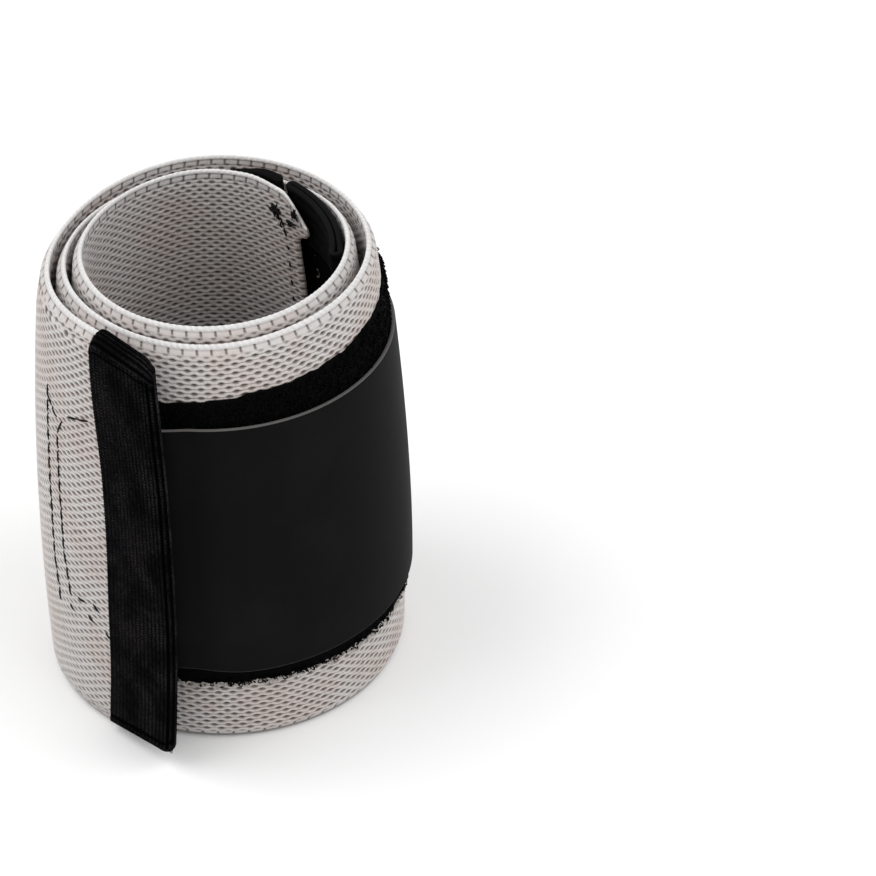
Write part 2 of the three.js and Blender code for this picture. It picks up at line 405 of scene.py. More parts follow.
@dataclass(frozen=True)
class Section:
    """A strap's section as rows round it: up its outer face, over its edge, down its inner face.

    Every row has a share of the half thickness, from 1 outside to -1 inside, a distance up the strap
    and the face that it is on, 0 on an edge.
    """

    across: np.ndarray
    up: np.ndarray
    face: np.ndarray

    @classmethod
    def rounded(
        cls,
        width: float,
        outer: Sequence[float],
        inner: Sequence[float],
        corner: float,
        steps: int = 6,
    ) -> "Section":
        """A section with rounded edges.

        Args:
            width: the strap's width.
            outer: distances up the outer face, rising, between the two edges' roundings.
            inner: the same up the inner face.
            corner: how far an edge's rounding reaches down the face.
            steps: steps over each edge.

        Returns:
            The section.
        """
        angles = np.linspace(0, math.pi, steps + 1)[1:-1]
        flat = np.concatenate([[corner], outer, [width - corner]])
        back = np.concatenate([[corner], inner, [width - corner]])[::-1]
        over = width - corner + corner * np.sin(angles)
        under = corner - corner * np.sin(angles)
        across = np.concatenate(
            [np.ones(len(flat)), np.cos(angles), -np.ones(len(back)), -np.cos(angles), [1.0]]
        )
        up = np.concatenate([flat, over, back, under, [corner]])
        face = np.concatenate(
            [np.ones(len(flat)), np.zeros(len(angles)), -np.ones(len(back)), np.zeros(len(angles)), [1.0]]
        )
        return cls(across, up, face)

    @property
    def rows(self) -> int:
        """Steps round the section."""
        return len(self.up) - 1


class Value:
    """A number that a material works out, with the usual signs of arithmetic."""

    def __init__(self, sheet: "NodeSheet", socket: bpy.types.NodeSocket) -> None:
        """Wraps an output socket of a sheet of nodes."""
        self.sheet = sheet
        self.socket = socket

    def _math(self, operation: str, *values: "Value | float", clamp: bool = False) -> "Value":
        """One Math node on these values."""
        settings = {"operation": operation, "use_clamp": clamp}
        node = self.sheet.node("ShaderNodeMath", settings, dict(enumerate(values)))
        return Value(self.sheet, node.outputs[0])

    def __add__(self, other: "Value | float") -> "Value":
        """Sum."""
        return self._math("ADD", self, other)

    __radd__ = __add__

    def __sub__(self, other: "Value | float") -> "Value":
        """Difference."""
        return self._math("SUBTRACT", self, other)

    def __rsub__(self, other: "Value | float") -> "Value":
        """Difference the other way round."""
        return self._math("SUBTRACT", other, self)

    def __mul__(self, other: "Value | float") -> "Value":
        """Product."""
        return self._math("MULTIPLY", self, other)

    __rmul__ = __mul__

    def __truediv__(self, other: "Value | float") -> "Value":
        """Quotient."""
        return self._math("DIVIDE", self, other)

    def cos(self) -> "Value":
        """Cosine."""
        return self._math("COSINE", self)

    def fract(self) -> "Value":
        """What is left past the whole number below."""
        return self._math("FRACT", self)

    def floor(self) -> "Value":
        """Whole number below."""
        return self._math("FLOOR", self)

    def size(self) -> "Value":
        """Size without sign."""
        return self._math("ABSOLUTE", self)

    def held(self) -> "Value":
        """Held between 0 and 1."""
        return self._math("ADD", self, 0.0, clamp=True)

    def most(self, other: "Value | float") -> "Value":
        """The larger of two."""
        return self._math("MAXIMUM", self, other)

    def wave(self) -> "Value":
        """From 0 to 1 and back over each whole number, 1 on the numbers."""
        return (self * TAU).cos() * 0.5 + 0.5

    def rises(self, low: float, high: float) -> "Value":
        """Smooth step from low to high."""
        node = self.sheet.node(
            "ShaderNodeMapRange",
            {"interpolation_type": "SMOOTHSTEP", "clamp": True},
            {"Value": self, "From Min": low, "From Max": high, "To Min": 0.0, "To Max": 1.0},
        )
        return Value(self.sheet, node.outputs[0])


class NodeSheet:
    """The nodes of one material."""

    def __init__(self, name: str) -> None:
        """Starts an empty material of this name."""
        self.material = bpy.data.materials.new(name)
        self.material.use_nodes = True
        self.tree = self.material.node_tree
        self.tree.nodes.clear()

    @staticmethod
    def _pick(sockets: Sequence[bpy.types.NodeSocket], key: int | str) -> bpy.types.NodeSocket:
        """A socket by its number, its identifier or its name."""
        if isinstance(key, int):
            return sockets[key]
        known = {socket.identifier: socket for socket in sockets}
        return known.get(key) or next(socket for socket in sockets if socket.name == key and socket.enabled)

    def node(self, kind: str, settings: dict | None = None, inputs: dict | None = None) -> bpy.types.Node:
        """Adds a node.

        Args:
            kind: the node's type.
            settings: its own settings, set first.
            inputs: values or links of its sockets, by number, identifier or name.

        Returns:
            The node.
        """
        made = self.tree.nodes.new(kind)
        for key, value in (settings or {}).items():
            setattr(made, key, value)
        for key, value in (inputs or {}).items():
            socket = self._pick(made.inputs, key)
            if isinstance(value, Value):
                self.tree.links.new(value.socket, socket)
            elif isinstance(value, bpy.types.NodeSocket):
                self.tree.links.new(value, socket)
            else:
                socket.default_value = value
        return made

    def attribute(self, name: str) -> Value:
        """A number that the mesh carries."""
        made = self.node("ShaderNodeAttribute", {"attribute_type": "GEOMETRY", "attribute_name": name})
        return Value(self, made.outputs["Fac"])

    def object_place(self) -> bpy.types.NodeSocket:
        """Object coordinates, in metres."""
        return self.node("ShaderNodeTexCoord").outputs["Object"]

    def joined(self, x: Value | float, y: Value | float, z: Value | float = 0.0) -> bpy.types.NodeSocket:
        """A vector of three numbers."""
        return self.node("ShaderNodeCombineXYZ", None, {0: x, 1: y, 2: z}).outputs[0]

    def grain(self, place: bpy.types.NodeSocket, scale: float, detail: float, rough: float) -> Value:
        """Smooth noise from 0 to 1 at a place."""
        made = self.node(
            "ShaderNodeTexNoise",
            {"noise_dimensions": "3D"},
            {"Vector": place, "Scale": scale, "Detail": detail, "Roughness": rough},
        )
        return Value(self, made.outputs[0])

    def chance(self, x: Value, y: Value) -> Value:
        """A random number from 0 to 1 for each pair of whole numbers."""
        made = self.node("ShaderNodeTexWhiteNoise", {"noise_dimensions": "2D"}, {"Vector": self.joined(x, y)})
        return Value(self, made.outputs["Value"])

    def blend(
        self,
        share: Value | float,
        first: Sequence[float] | bpy.types.NodeSocket,
        second: Sequence[float] | bpy.types.NodeSocket,
    ) -> bpy.types.NodeSocket:
        """A colour between two.

        Args:
            share: how much of the second.
            first: a colour, or the output of another blend.
            second: the same.

        Returns:
            The colour's output.
        """
        made = self.node(
            "ShaderNodeMix",
            {"data_type": "RGBA", "blend_type": "MIX", "clamp_factor": True},
            {"Factor_Float": share, "A_Color": first, "B_Color": second},
        )
        return self._pick(made.outputs, "Result_Color")

    def bump(self, height: Value, depth: float, strength: float) -> bpy.types.NodeSocket:
        """A normal from a height of 0 to 1 that stands for a depth in metres."""
        made = self.node("ShaderNodeBump", None, {"Strength": strength, "Distance": depth, "Height": height})
        return made.outputs[0]

    def finish(
        self,
        color: bpy.types.NodeSocket | Sequence[float],
        roughness: Value | float,
        normal: bpy.types.NodeSocket | None = None,
        constants: dict[str, float | tuple] | None = None,
    ) -> bpy.types.Material:
        """Ends the material in one shader.

        Args:
            color: the base colour.
            roughness: how matt it is.
            normal: the surface's normal, where it is bumped.
            constants: other sockets of the shader with one value all over.

        Returns:
            The material.
        """
        inputs: dict = {"Base Color": color, "Roughness": roughness, **(constants or {})}
        if normal is not None:
            inputs["Normal"] = normal
        shader = self.node("ShaderNodeBsdfPrincipled", None, inputs)
        self.node("ShaderNodeOutputMaterial", None, {"Surface": shader.outputs[0]})
        return self.material


Color = tuple[float, float, float, float]


def shade(red: float, green: float, blue: float) -> Color:
    """A colour as the screen shows it, 0 to 255, turned into light."""
    parts = [part / 255 for part in (red, green, blue)]
    light = [part / 12.92 if part <= 0.04045 else ((part + 0.055) / 1.055) ** 2.4 for part in parts]
    return (light[0], light[1], light[2], 1.0)


@dataclass(frozen=True)
class KnitPattern:
    """The knit of the elastic: a rolled cord at each edge, a row of flat stitches, then courses."""

    stitch: float = 1.23
    courses: int = 47
    cord: float = 0.6
    flat_row: float = 1.0
    flat_stitch: float = 2.66
    divider: float = 1.2
    wave: float = 0.25
    skew: float = 0.1
    skew_ends: float = 60.0
    depth: float = 0.4
    width: float = 78.0
    edge_share: float = 0.42
    swells_over: float = 2.5

    @property
    def margin(self) -> float:
        """Distance from an edge to the first course."""
        return self.cord + self.flat_row

    @property
    def pitch(self) -> float:
        """Height of one course."""
        return (self.width - 2 * self.margin) / self.courses

    def share_of_thickness(self, edge: np.ndarray, across: np.ndarray) -> np.ndarray:
        """How much of the band's thickness is left near an edge, which swells sooner on its outer face."""
        reach = self.swells_over * (1 - 0.28 * across)
        return self.edge_share + (1 - self.edge_share) * between(edge, 0.1, reach)

    def rows(self, per_course: int, low: int, high: int) -> np.ndarray:
        """Heights up a face that is drawn in full near its two edges and plain between.

        Args:
            per_course: rows to a course where it is drawn in full.
            low: courses drawn in full above the lower edge.
            high: courses drawn in full below the rim.

        Returns:
            The heights, rising.
        """
        foot, top = self.margin, self.width - self.margin
        edge = np.linspace(self.cord, self.margin, 7)[1:-1]
        lower = np.linspace(foot, foot + low * self.pitch, low * per_course + 1)
        upper = np.linspace(top - high * self.pitch, top, high * per_course + 1)
        plain = np.linspace(lower[-1], upper[0], max(2, round((upper[0] - lower[-1]) / 3.6)) + 1)[1:-1]
        body = np.concatenate([lower, plain, upper])
        return np.concatenate([edge, body, self.width - edge[::-1]])

    def coordinates(self, along: np.ndarray, up: np.ndarray, level: np.ndarray) -> dict[str, np.ndarray]:
        """Where a place is in the knit, counted in stitches and courses, with the drift of real yarn.

        Args:
            along: distance along the band.
            up: distance up the band.
            level: the same, were its inner corner square, as its courses run.

        Returns:
            The stitch, the course, the distance from the nearer edge and the two distances.
        """
        inside = between(np.minimum(up, self.width - up), self.cord, self.margin + self.pitch)
        drift = share_noise(3, along / 2.6, up / 2.0) * 0.16 + share_noise(5, along / 9, up / 7) * 0.25
        sag = share_noise(7, along / 2.2, up / 2.4) * 0.13 + share_noise(9, along / 12, up / 30) * 0.22
        stitch = (along + drift * inside) / self.stitch
        skewed = self.skew * np.maximum(0, self.skew_ends - along) * inside
        course = (level - self.margin + sag * inside + skewed) / self.pitch
        edge = np.minimum(up, self.width - up)
        return {"stitch": stitch, "course": course, "edge": edge, "along": along, "up": up}

    def relief(self, where: dict[str, np.ndarray]) -> np.ndarray:
        """How far the knit lies below the face.

        Args:
            where: what coordinates() gives.

        Returns:
            The depth at each place.
        """
        stitch, course, edge = (where[key] for key in ("stitch", "course", "edge"))
        half = np.mod(2 * course, 1)
        way = np.where(np.mod(course, 1) < 0.5, 1.0, -1.0)
        from_strand = np.abs(half - 0.5 - way * self.wave * np.cos(math.pi * stitch))
        knit = between(from_strand, 0.22, 0.52) * 0.45 + between(from_strand, 0.5, 0.7) * 0.55
        knit = np.maximum(knit, between(np.abs(half - 0.5), 0.34, 0.5) * 0.42)
        tile = np.abs(np.mod(where["along"] / self.flat_stitch, 1) - 0.5) * 2
        puffed = between(tile, 0.7, 1.0) * 0.6 * (1 - between(edge, self.divider, self.divider + 0.6)) + 0.15
        in_knit = between(edge, self.margin - 0.2, self.margin + 0.35)
        in_row = between(edge, self.cord - 0.05, self.cord + 0.3) * (1 - in_knit)
        lip = bell(edge, self.cord + 0.12, 0.16) * 0.35
        return self.depth * (knit * in_knit + puffed * in_row + lip)


@dataclass(frozen=True)
class KnitFinish:
    """The finish of the knitted elastic, with painted shade in its holes, valleys, gaps and creases, between
    the cord's scallops and along its foot.
    """

    yarn: Color = shade(205, 202, 200)
    warm: Color = shade(201, 190, 185)
    cord: Color = shade(226, 225, 224)
    # Painted shade in the valleys between the strands and between the cord's scallops; also the colour of the
    # random fibre mottling.
    valley_shade: Color = shade(116, 103, 97)
    # Painted shade in the holes, the gaps of the flat row and the creases beside the cord.
    recess_shade: Color = shade(50, 40, 36)
    # Painted shade along the band's foot.
    foot_shade: Color = shade(112, 108, 106)

    def make(self) -> bpy.types.Material:
        """Makes the material."""
        sheet = NodeSheet("knitted_elastic")
        stitch, course = sheet.attribute("stitch"), sheet.attribute("course")
        edge, face = sheet.attribute("edge"), sheet.attribute("face")
        along, up = sheet.attribute("along"), sheet.attribute("up")
        pattern = KnitPattern()
        place = sheet.object_place()
        fibre = sheet.grain(sheet.joined(stitch * 4.5, course * 7, face * 9), 1.0, 3.0, 0.7)
        lumps = sheet.grain(sheet.joined(stitch * 0.9, course * 1.7, face * 9), 1.0, 2.0, 0.6)
        ragged = (fibre - 0.5) * 0.3 + (lumps - 0.5) * 0.25
        pick = sheet.chance((stitch + 0.5).floor(), (course * 2).floor())
        half = (course * 2).fract()
        way = 1 - course.fract().rises(0.499, 0.501) * 2
        from_strand = (half - 0.5 - way * pattern.wave * (stitch * math.pi).cos()).size() + ragged * 0.5
        # Painted shade in the knit's holes, some deeper than others at random.
        recess_shade = from_strand.rises(0.5, 0.68) * (pick * 0.4 + 0.6)
        # Painted shade in the valleys between the strands.
        valley_shade = from_strand.rises(0.2, 0.5)
        valley_shade = valley_shade.most(((half - 0.5).size() + ragged * 0.3).rises(0.36, 0.5) * 0.75)
        in_knit = edge.rises(pattern.margin - 0.25, pattern.margin + 0.3)
        in_row = edge.rises(pattern.cord - 0.05, pattern.cord + 0.2) * (1 - in_knit)
        tile = ((along / pattern.flat_stitch + (edge - 1) * 0.06).fract() - 0.5).size() * 2
        inward = 1 - face.rises(-0.6, -0.4)
        short = 1 - edge.rises(pattern.divider, pattern.divider + 0.5)
        # Painted shade in the gaps between the flat row's stitches, along the whole row on the inner face.
        divider = (tile + ragged * 0.4).rises(0.72, 0.94) * in_row * short.most(inward) * 0.8
        # Painted shade in the creases beside the cord, stronger on the inner face.
        lip = (1 - ((edge - pattern.cord - 0.12).size() / 0.2)).held() * (0.3 + inward * 0.35)
        lip = lip + (1 - ((edge - pattern.margin - 0.05).size() / 0.22)).held() * inward * 0.6
        blotch = sheet.grain(place, 95.0, 3.0, 0.6).rises(0.4, 0.62)
        scallop = (along / pattern.stitch + edge * 0.5).wave()
        on_cord = 1 - edge.rises(pattern.cord - 0.1, pattern.cord + 0.15)
        color = sheet.blend(blotch * 0.8, self.yarn, self.warm)
        color = sheet.blend(on_cord, color, self.cord)
        # Painted shade between the scallops of the edge cord.
        color = sheet.blend(on_cord * (1 - scallop) * 0.12, color, self.valley_shade)
        # Painted shade in the valleys.
        color = sheet.blend(valley_shade * in_knit * 0.84, color, self.valley_shade)
        # Painted shade in the holes, gaps and creases.
        color = sheet.blend((recess_shade * in_knit + divider + lip).held() * 0.95, color, self.recess_shade)
        # Random fibre mottling, in the same colour as the painted valley shade.
        color = sheet.blend((fibre * 0.6 + lumps * 0.4 - 0.4).held() * 0.9, color, self.valley_shade)
        # Painted shade along the lowest millimetre of the band, at its foot.
        color = sheet.blend((1 - up.rises(0.5, 1.1)) * 0.8, color, self.foot_shade)
        rise = (1 - valley_shade * 0.6 - recess_shade * 0.4) * in_knit * 0.7 + fibre * 0.45
        rise = rise + (1 - divider) * in_row * 0.6 + on_cord * (0.4 + scallop * 0.2)
        return sheet.finish(
            color,
            0.9,
            sheet.bump(rise, 0.0003, 0.8),
            {"Sheen Weight": 0.2, "Sheen Roughness": 0.6, "Specular IOR Level": 0.15},
        )


@dataclass
class ElasticBand:
    """The knitted band, in parts that meet along the spiral."""

    roll: Roll
    pattern: KnitPattern = field(default_factory=KnitPattern)
    fine_step: float = 0.3075
    inner_step: float = 0.345
    coarse_step: float = 0.41
    hidden_step: float = 0.55
    tongue: float = 3.5
    tongue_height: float = 8.0
    under_tape: float = 2.2
    foot_under_tape: float = 2.4
    taped_to: float = 12.0

    def _part(
        self,
        name: str,
        start: float,
        stop: float,
        step: float,
        outer: np.ndarray,
        inner: np.ndarray,
    ) -> bpy.types.Object:
        """One part of the band.

        Args:
            name: the piece's name.
            start: where it starts, in millimetres from the outer end.
            stop: where it stops.
            step: length of a step along it.
            outer: heights of its outer face's rows.
            inner: heights of its inner face's rows.

        Returns:
            The piece.
        """
        roll, pattern = self.roll, self.pattern
        section = Section.rounded(roll.width, outer, inner, pattern.cord, 8)
        columns = max(2, round((stop - start) / step))
        end = float(roll.along_at(roll.inner_end))
        at_end = stop > end - 1
        reach = roll.thickness / 2
        half_round = np.radians([25, 50, 72]) if at_end else np.zeros(0)
        distances = np.concatenate([np.linspace(start, stop, columns + 1), stop + reach * np.sin(half_round)])
        thins = np.concatenate([np.ones(columns + 1), np.cos(half_round)])

        def carry(column: np.ndarray, row: np.ndarray) -> Carried:
            """Where the corners of the band lie.

            Args:
                column: their steps along the part.
                row: their steps round the section.

            Returns:
                Their places, and what the knit's material reads there.
            """
            along, up, face = distances[column], section.up[row], section.face[row]
            across = section.across[row]
            tongue = self.tongue * between(up, roll.width - self.tongue_height, roll.width - 1) * at_end
            along = along + tongue * between(along, end - 7, end)
            turn = roll.turn_at(along)
            taped = 1 - between(along, self.taped_to - 4, self.taped_to)
            raised = 1 - between(along, self.taped_to - 3.5, self.taped_to + 1)
            low = roll.foot(turn) + self.foot_under_tape * raised
            high = roll.rim(turn) - self.under_tape * taped
            height = low + (high - low) * up / roll.width
            level = (height - low) * roll.width / (roll.plain_rim(turn) - self.under_tape * taped - low)
            where = pattern.coordinates(along, up, level)
            sunk = pattern.relief(where) * np.abs(face)
            full = pattern.share_of_thickness(where["edge"], across)
            full = full * (1 - 0.3 * between(along, end - 2.5, end))
            scallop = 0.04 * np.cos(TAU * (along / pattern.stitch)) * (face == 0) * (up > 1)
            offset = across * (roll.thickness / 2 * thins[column] * full - sunk * full)
            offset = offset - 0.2 * (1 - between(where["edge"], 0.2, 2.5))
            offset = offset * (1 - 0.53 * taped) + 0.6 * taped
            return roll.place(turn, offset, height + scallop), {**where, "face": face}

        piece = laid_solid(name, len(distances) - 1, section.rows, carry)
        (stop - start) * MM
        return piece

    def build(self, finish: bpy.types.Material) -> list[bpy.types.Object]:
        """Builds and dresses the band.

        Args:
            finish: the knit's material.

        Returns:
            Its pieces.
        """
        pattern, roll = self.pattern, self.roll
        half = pattern.courses // 2
        shown, turned_away = pattern.rows(8, half, half), pattern.rows(4, half, half)
        rim, under_tab = pattern.rows(4, 0, 4), pattern.rows(8, 9, 9)
        end = float(roll.along_at(roll.inner_end))
        cuts = [0.0, *(float(roll.along_at(turn)) for turn in (118, 208, 386, 590, 712)), end]
        parts = [
            ("elastic_band.outer_left", self.fine_step, shown, rim),
            ("elastic_band.outer_back", self.coarse_step, turned_away, rim),
            ("elastic_band.outer_right", self.fine_step, under_tab, rim),
            ("elastic_band.middle", self.hidden_step, rim, rim),
            ("elastic_band.inner_front", self.coarse_step, rim, turned_away),
            ("elastic_band.inner_back", self.inner_step, rim, pattern.rows(5, half, half)),
        ]
        pieces = []
        for (name, step, outer, inner), start, stop in zip(parts, cuts, cuts[1:]):
            piece = self._part(name, start, stop, step, outer, inner)
            piece.data.materials.append(finish)
            pieces.append(piece)
        return pieces


@dataclass(frozen=True)
class Run:
    """Places along a piece, with both its ends rounded off: a distance and a share of the thickness."""

    distance: np.ndarray
    share: np.ndarray

    @classmethod
    def rounded(cls, start: float, stop: float, step: float, reach: float, steps: int = 4) -> "Run":
        """A run with rounded ends.

        Args:
            start: where the piece starts.
            stop: where it stops.
            step: length of a step between.
            reach: how far the rounding reaches from an end.
            steps: steps over each end.

        Returns:
            The run.
        """
        angles = np.linspace(math.radians(80), 0, steps + 1)[:-1]
        low, high = start + reach, stop - reach
        body = np.linspace(low, high, max(1, round((high - low) / step)) + 1)
        head = low - reach * np.sin(angles)
        tail = high + reach * np.sin(angles[::-1])
        share = np.concatenate([np.cos(angles), np.ones(len(body)), np.cos(angles[::-1])])
        return cls(np.concatenate([head, body, tail]), share)

    @property
    def steps(self) -> int:
        """Steps along the run."""
        return len(self.distance) - 1


def even_rows(width: float, corner: float, step: float) -> np.ndarray:
    """Distances up a face about a step apart, between its two edges' roundings."""
    count = max(2, round((width - 2 * corner) / step))
    return np.linspace(corner, width - corner, count + 1)[1:-1]


@dataclass(frozen=True)
class OuterTape:
    """The black tape folded over the band's outer end, closed at the top by its own ribbed edge."""

    roll: Roll
    length: float = 15.8
    past_end: float = 0.9
    bow: float = 2.2
    outer_face: float = 1.85
    inner_face: float = -0.95
    fold_thins: float = 0.95
    fold_reach: float = 4.0
    width: float = 80.0
    low: float = 1.2
    low_at_fold: float = 2.7
    above_rim: float = 0.7
    top_falls: float = 1.1
    wider_top: float = 1.2
    fold_bow: float = 0.8
    cap: float = 1.3
    cap_rise: float = 0.9
    shoulder: float = 2.4
    foot_corner: float = 3.0
    brow: float = 0.8
    ridge_depth: float = 0.12
    column_depth: float = 0.1
    groove_depth: float = 0.3
    hem_depth: float = 0.14
    rib_depth: float = 0.16
    column: float = 0.92
    twill: float = 0.56
    step: float = 0.23
    row_step: float = 0.2

    def _heights(self, turn: np.ndarray, from_fold: np.ndarray) -> tuple[np.ndarray, np.ndarray]:
        """Heights of the tape's foot and top.

        Args:
            turn: places along the spiral, in degrees.
            from_fold: distance from the fold, in millimetres.

        Returns:
            The height of its foot and of its top.
        """
        to_left = self.length - from_fold
        shoulder = rounded_corner(self.shoulder, to_left, 0.98)
        heel = rounded_corner(self.foot_corner, from_fold, 0.97)
        brow = rounded_corner(self.brow, from_fold, 0.97)
        near_fold = 1 - from_fold / self.length
        low = self.low + (self.low_at_fold - self.low) * near_fold + heel * 0.7
        return low, self.roll.rim(turn) + self.above_rim - self.top_falls * near_fold - shoulder - brow

    def _weave(self, from_fold: np.ndarray, up: np.ndarray) -> np.ndarray:
        """Depth of the herringbone in the face."""
        course = from_fold / self.column
        way = np.where(np.mod(np.floor(course), 2) < 1, 1.0, -1.0)
        ridge = ripple((up + 0.45 * way * from_fold) / self.twill)
        seam = 1 - between(np.abs(np.mod(course + 0.5, 1) - 0.5), 0.02, 0.2)
        return self.ridge_depth * ridge + self.column_depth * seam

    def build(self, finish: bpy.types.Material) -> list[bpy.types.Object]:
        """Builds and dresses the tape.

        Args:
            finish: its material.

        Returns:
            Its one piece.
        """
        roll = self.roll
        run = Run.rounded(0.0, self.length, self.step, 0.5)
        section = Section.rounded(
            self.width,
            even_rows(self.width, self.cap, self.row_step),
            even_rows(self.width, self.cap, 2.0),
            self.cap,
            18,
        )

        def carry(column: np.ndarray, row: np.ndarray) -> Carried:
            """Where the corners of the tape lie.

            Args:
                column: their steps from the fold.
                row: their steps round the section.

            Returns:
                Their places, and how near each is to the crest of the weave.
            """
            across, up, face = section.across[row], section.up[row], section.face[row]
            share = up / self.width
            bowed = 4 * share * (1 - share)
            from_fold = run.distance[column]
            width = self.length - self.bow * bowed + self.wider_top * between(share, 0.65, 0.9)
            along = from_fold * width / self.length - self.past_end
            along = along - self.fold_bow * bowed * (1 - from_fold / self.length)
            turn = roll.turn_at(along)
            low, high = self._heights(turn, from_fold)
            height = low + (high - low) * share - self.cap_rise * across * between(share, 0.95, 0.985)
            inner = self.inner_face + self.fold_thins * (1 - between(from_fold, 0, self.fold_reach))
            half, middle = (self.outer_face - inner) / 2, (self.outer_face + inner) / 2
            weave = self._weave(from_fold, up) * (face > 0)
            groove = self.groove_depth * bell(from_fold, 0.75, 0.22) * (face > 0)
            hem = self.hem_depth * bell(up, 2.6, 0.3) * (face > 0)
            under_cap = self.hem_depth * bell(up, self.width - 2.4, 0.22) * (face > 0)
            ribs = self.rib_depth * ripple(across * 2.5) * (face == 0)
            sunk = weave + groove + hem + under_cap
            sag = share_noise(31, from_fold / 3.2, up / 6.5) * 0.16 * (face > 0)
            offset = middle + across * (half * run.share[column] - sunk + sag)
            height = height - ribs * np.where(share > 0.5, 1.0, -1.0)
            in_weave = 1 - sunk / (self.ridge_depth + self.column_depth)
            rise = np.where(face == 0, 0.85 - ribs / (2 * self.rib_depth), in_weave)
            return roll.place(turn, offset, height), {"rise": rise}

        piece = laid_solid("outer_end_binding.tape", run.steps, section.rows, carry)
        piece.data.materials.append(finish)
        return [piece]


@dataclass(frozen=True)
class ClosureTab:
    """The smooth black tab that closes the wrap, laid over the loop panel."""

    roll: Roll
    length: float = 80.0
    height: float = 48.8
    foot: float = 15.9
    root_rise: float = 0.3
    root_foot: float = 1.7
    thickness: float = 0.75
    start_turn: float = 375.5
    tuck: float = 2.5
    chamfer_length: float = 8.0
    chamfer_height: float = 11.0
    root_offset: float = 2.2
    laid_offset: float = 2.0
    grip: float = 11.5
    grip_margin: float = 1.3
    grip_pitch: float = 1.61
    grip_depth: float = 0.14
    grip_sunk: float = 0.05
    lift: float = 1.2
    corner: float = 0.22
    step: float = 0.39
    row_step: float = 0.44

    def build(self, finish: bpy.types.Material) -> list[bpy.types.Object]:
        """Builds and dresses the tab.

        Args:
            finish: its material.

        Returns:
            Its one piece.
        """
        roll = self.roll
        root = float(roll.along_at(self.start_turn)) + self.tuck
        run = Run.rounded(0.0, self.length, self.step, 0.35, 3)
        rows = even_rows(self.height, self.corner, self.row_step)
        back = even_rows(self.height, self.corner, 1.6)
        section = Section.rounded(self.height, rows, back, self.corner, 6)

        def carry(column: np.ndarray, row: np.ndarray) -> Carried:
            """Where the corners of the tab lie.

            Args:
                column: their steps from the root.
                row: their steps round the section.

            Returns:
                Their places, and where the cut edge and the grip zone are.
            """
            across, up, face = section.across[row], section.up[row], section.face[row]
            from_root = run.distance[column]
            cut = self.chamfer_height * np.clip(1 - (self.length - from_root) / self.chamfer_length, 0, 1)
            share = up / self.height
            risen = self.root_rise * (1 - between(from_root, 0, 34)) * share
            risen = risen + self.root_foot * (1 - between(from_root, -2, 15)) * (1 - share)
            height = self.foot + cut + (self.height - 2 * cut) * share + risen
            lifted = self.lift * (1 - between(from_root, 0, 7))
            laid = (self.root_offset - self.laid_offset) * between(from_root, 8, 42)
            to_tip = self.length - from_root
            from_side = np.minimum(height - self.foot - cut, self.foot + self.height - cut - height)
            inside = between(from_side, 0.5, 1.2)
            zone = between(to_tip, self.grip_margin, self.grip_margin + 0.3)
            zone = zone * (1 - between(to_tip, self.grip - 0.3, self.grip))
            first = np.cos(TAU * (to_tip + height) / self.grip_pitch)
            second = np.cos(TAU * (to_tip - height) / self.grip_pitch)
            grip = self.grip_depth * (0.5 - 0.25 * (first + second)) * zone * inside
            held_flat = 1 - np.abs(2 * share - 1) ** 3
            wave = share_noise(41, from_root / 14, up / 16) * 0.16 * held_flat
            sunk = (grip + self.grip_sunk * zone * inside) * (face > 0)
            half = self.thickness / 2 * run.share[column]
            offset = self.root_offset + lifted - laid + across * (half - sunk) + wave
            values = {"edge": (face == 0) * 1.0, "grip": zone * inside}
            return roll.place(roll.turn_at(root - from_root), offset, height), values

        piece = laid_solid("closure_tab.sheet", run.steps, section.rows, carry)
        piece.data.materials.append(finish)
        return [piece]


def ring_model(steps: int, sides: int) -> tuple[bpy.types.Mesh, np.ndarray, np.ndarray]:
    """A small closed ring, and the angles of its corners.

    Args:
        steps: steps round the ring.
        sides: sides of its strand.

    Returns:
        The mesh, the angle of each corner round the ring and its angle round the strand.
    """
    shape = bmesh.new()
    bmesh.ops.create_grid(shape, x_segments=steps, y_segments=sides, size=0.5)
    for vert in shape.verts:
        around, strand = (vert.co.x + 0.5) * TAU, (vert.co.y + 0.5) * TAU
        reach = 1 + STRAND * math.cos(strand)
        vert.co = Vector((reach * math.cos(around), reach * math.sin(around), STRAND * math.sin(strand)))
    bmesh.ops.remove_doubles(shape, verts=shape.verts, dist=1e-5)
    bmesh.ops.recalc_face_normals(shape, faces=shape.faces)
    for face in shape.faces:
        face.smooth = True
    mesh = as_mesh("ring", shape)
    x, y, z = corner_places(mesh).T
    return mesh, np.arctan2(y, x), np.arctan2(z, np.hypot(x, y) - 1)


def bead_model(around: int, rows: int) -> tuple[bpy.types.Mesh, np.ndarray]:
    """A small ball, and its corners' places from -1 to 1.

    Args:
        around: sides round it.
        rows: rows from pole to pole.

    Returns:
        The mesh and one row of three numbers for each corner.
    """
    shape = bmesh.new()
    bmesh.ops.create_uvsphere(shape, u_segments=around, v_segments=rows, radius=1)
    for face in shape.faces:
        face.smooth = True
    mesh = as_mesh("bead", shape)
    return mesh, corner_places(mesh)


def repeated(
    name: str,
    model: bpy.types.Mesh,
    places: np.ndarray,
    values: dict[str, np.ndarray] | None = None,
) -> bpy.types.Object:
    """One object of many copies of a small mesh, each bent its own way.

    Args:
        name: the object's name.
        model: the small mesh.
        places: for each copy and corner its place, in metres.
        values: numbers for each copy that its material reads.

    Returns:
        The object.
    """
    shape = bmesh.new()
    for _ in range(len(places)):
        shape.from_mesh(model)
    mesh = as_mesh(name, shape)
    spread = {key: np.repeat(value, places.shape[1]) for key, value in (values or {}).items()}
    move_corners(mesh, places, spread)
    mesh.update()
    return as_object(name, mesh)


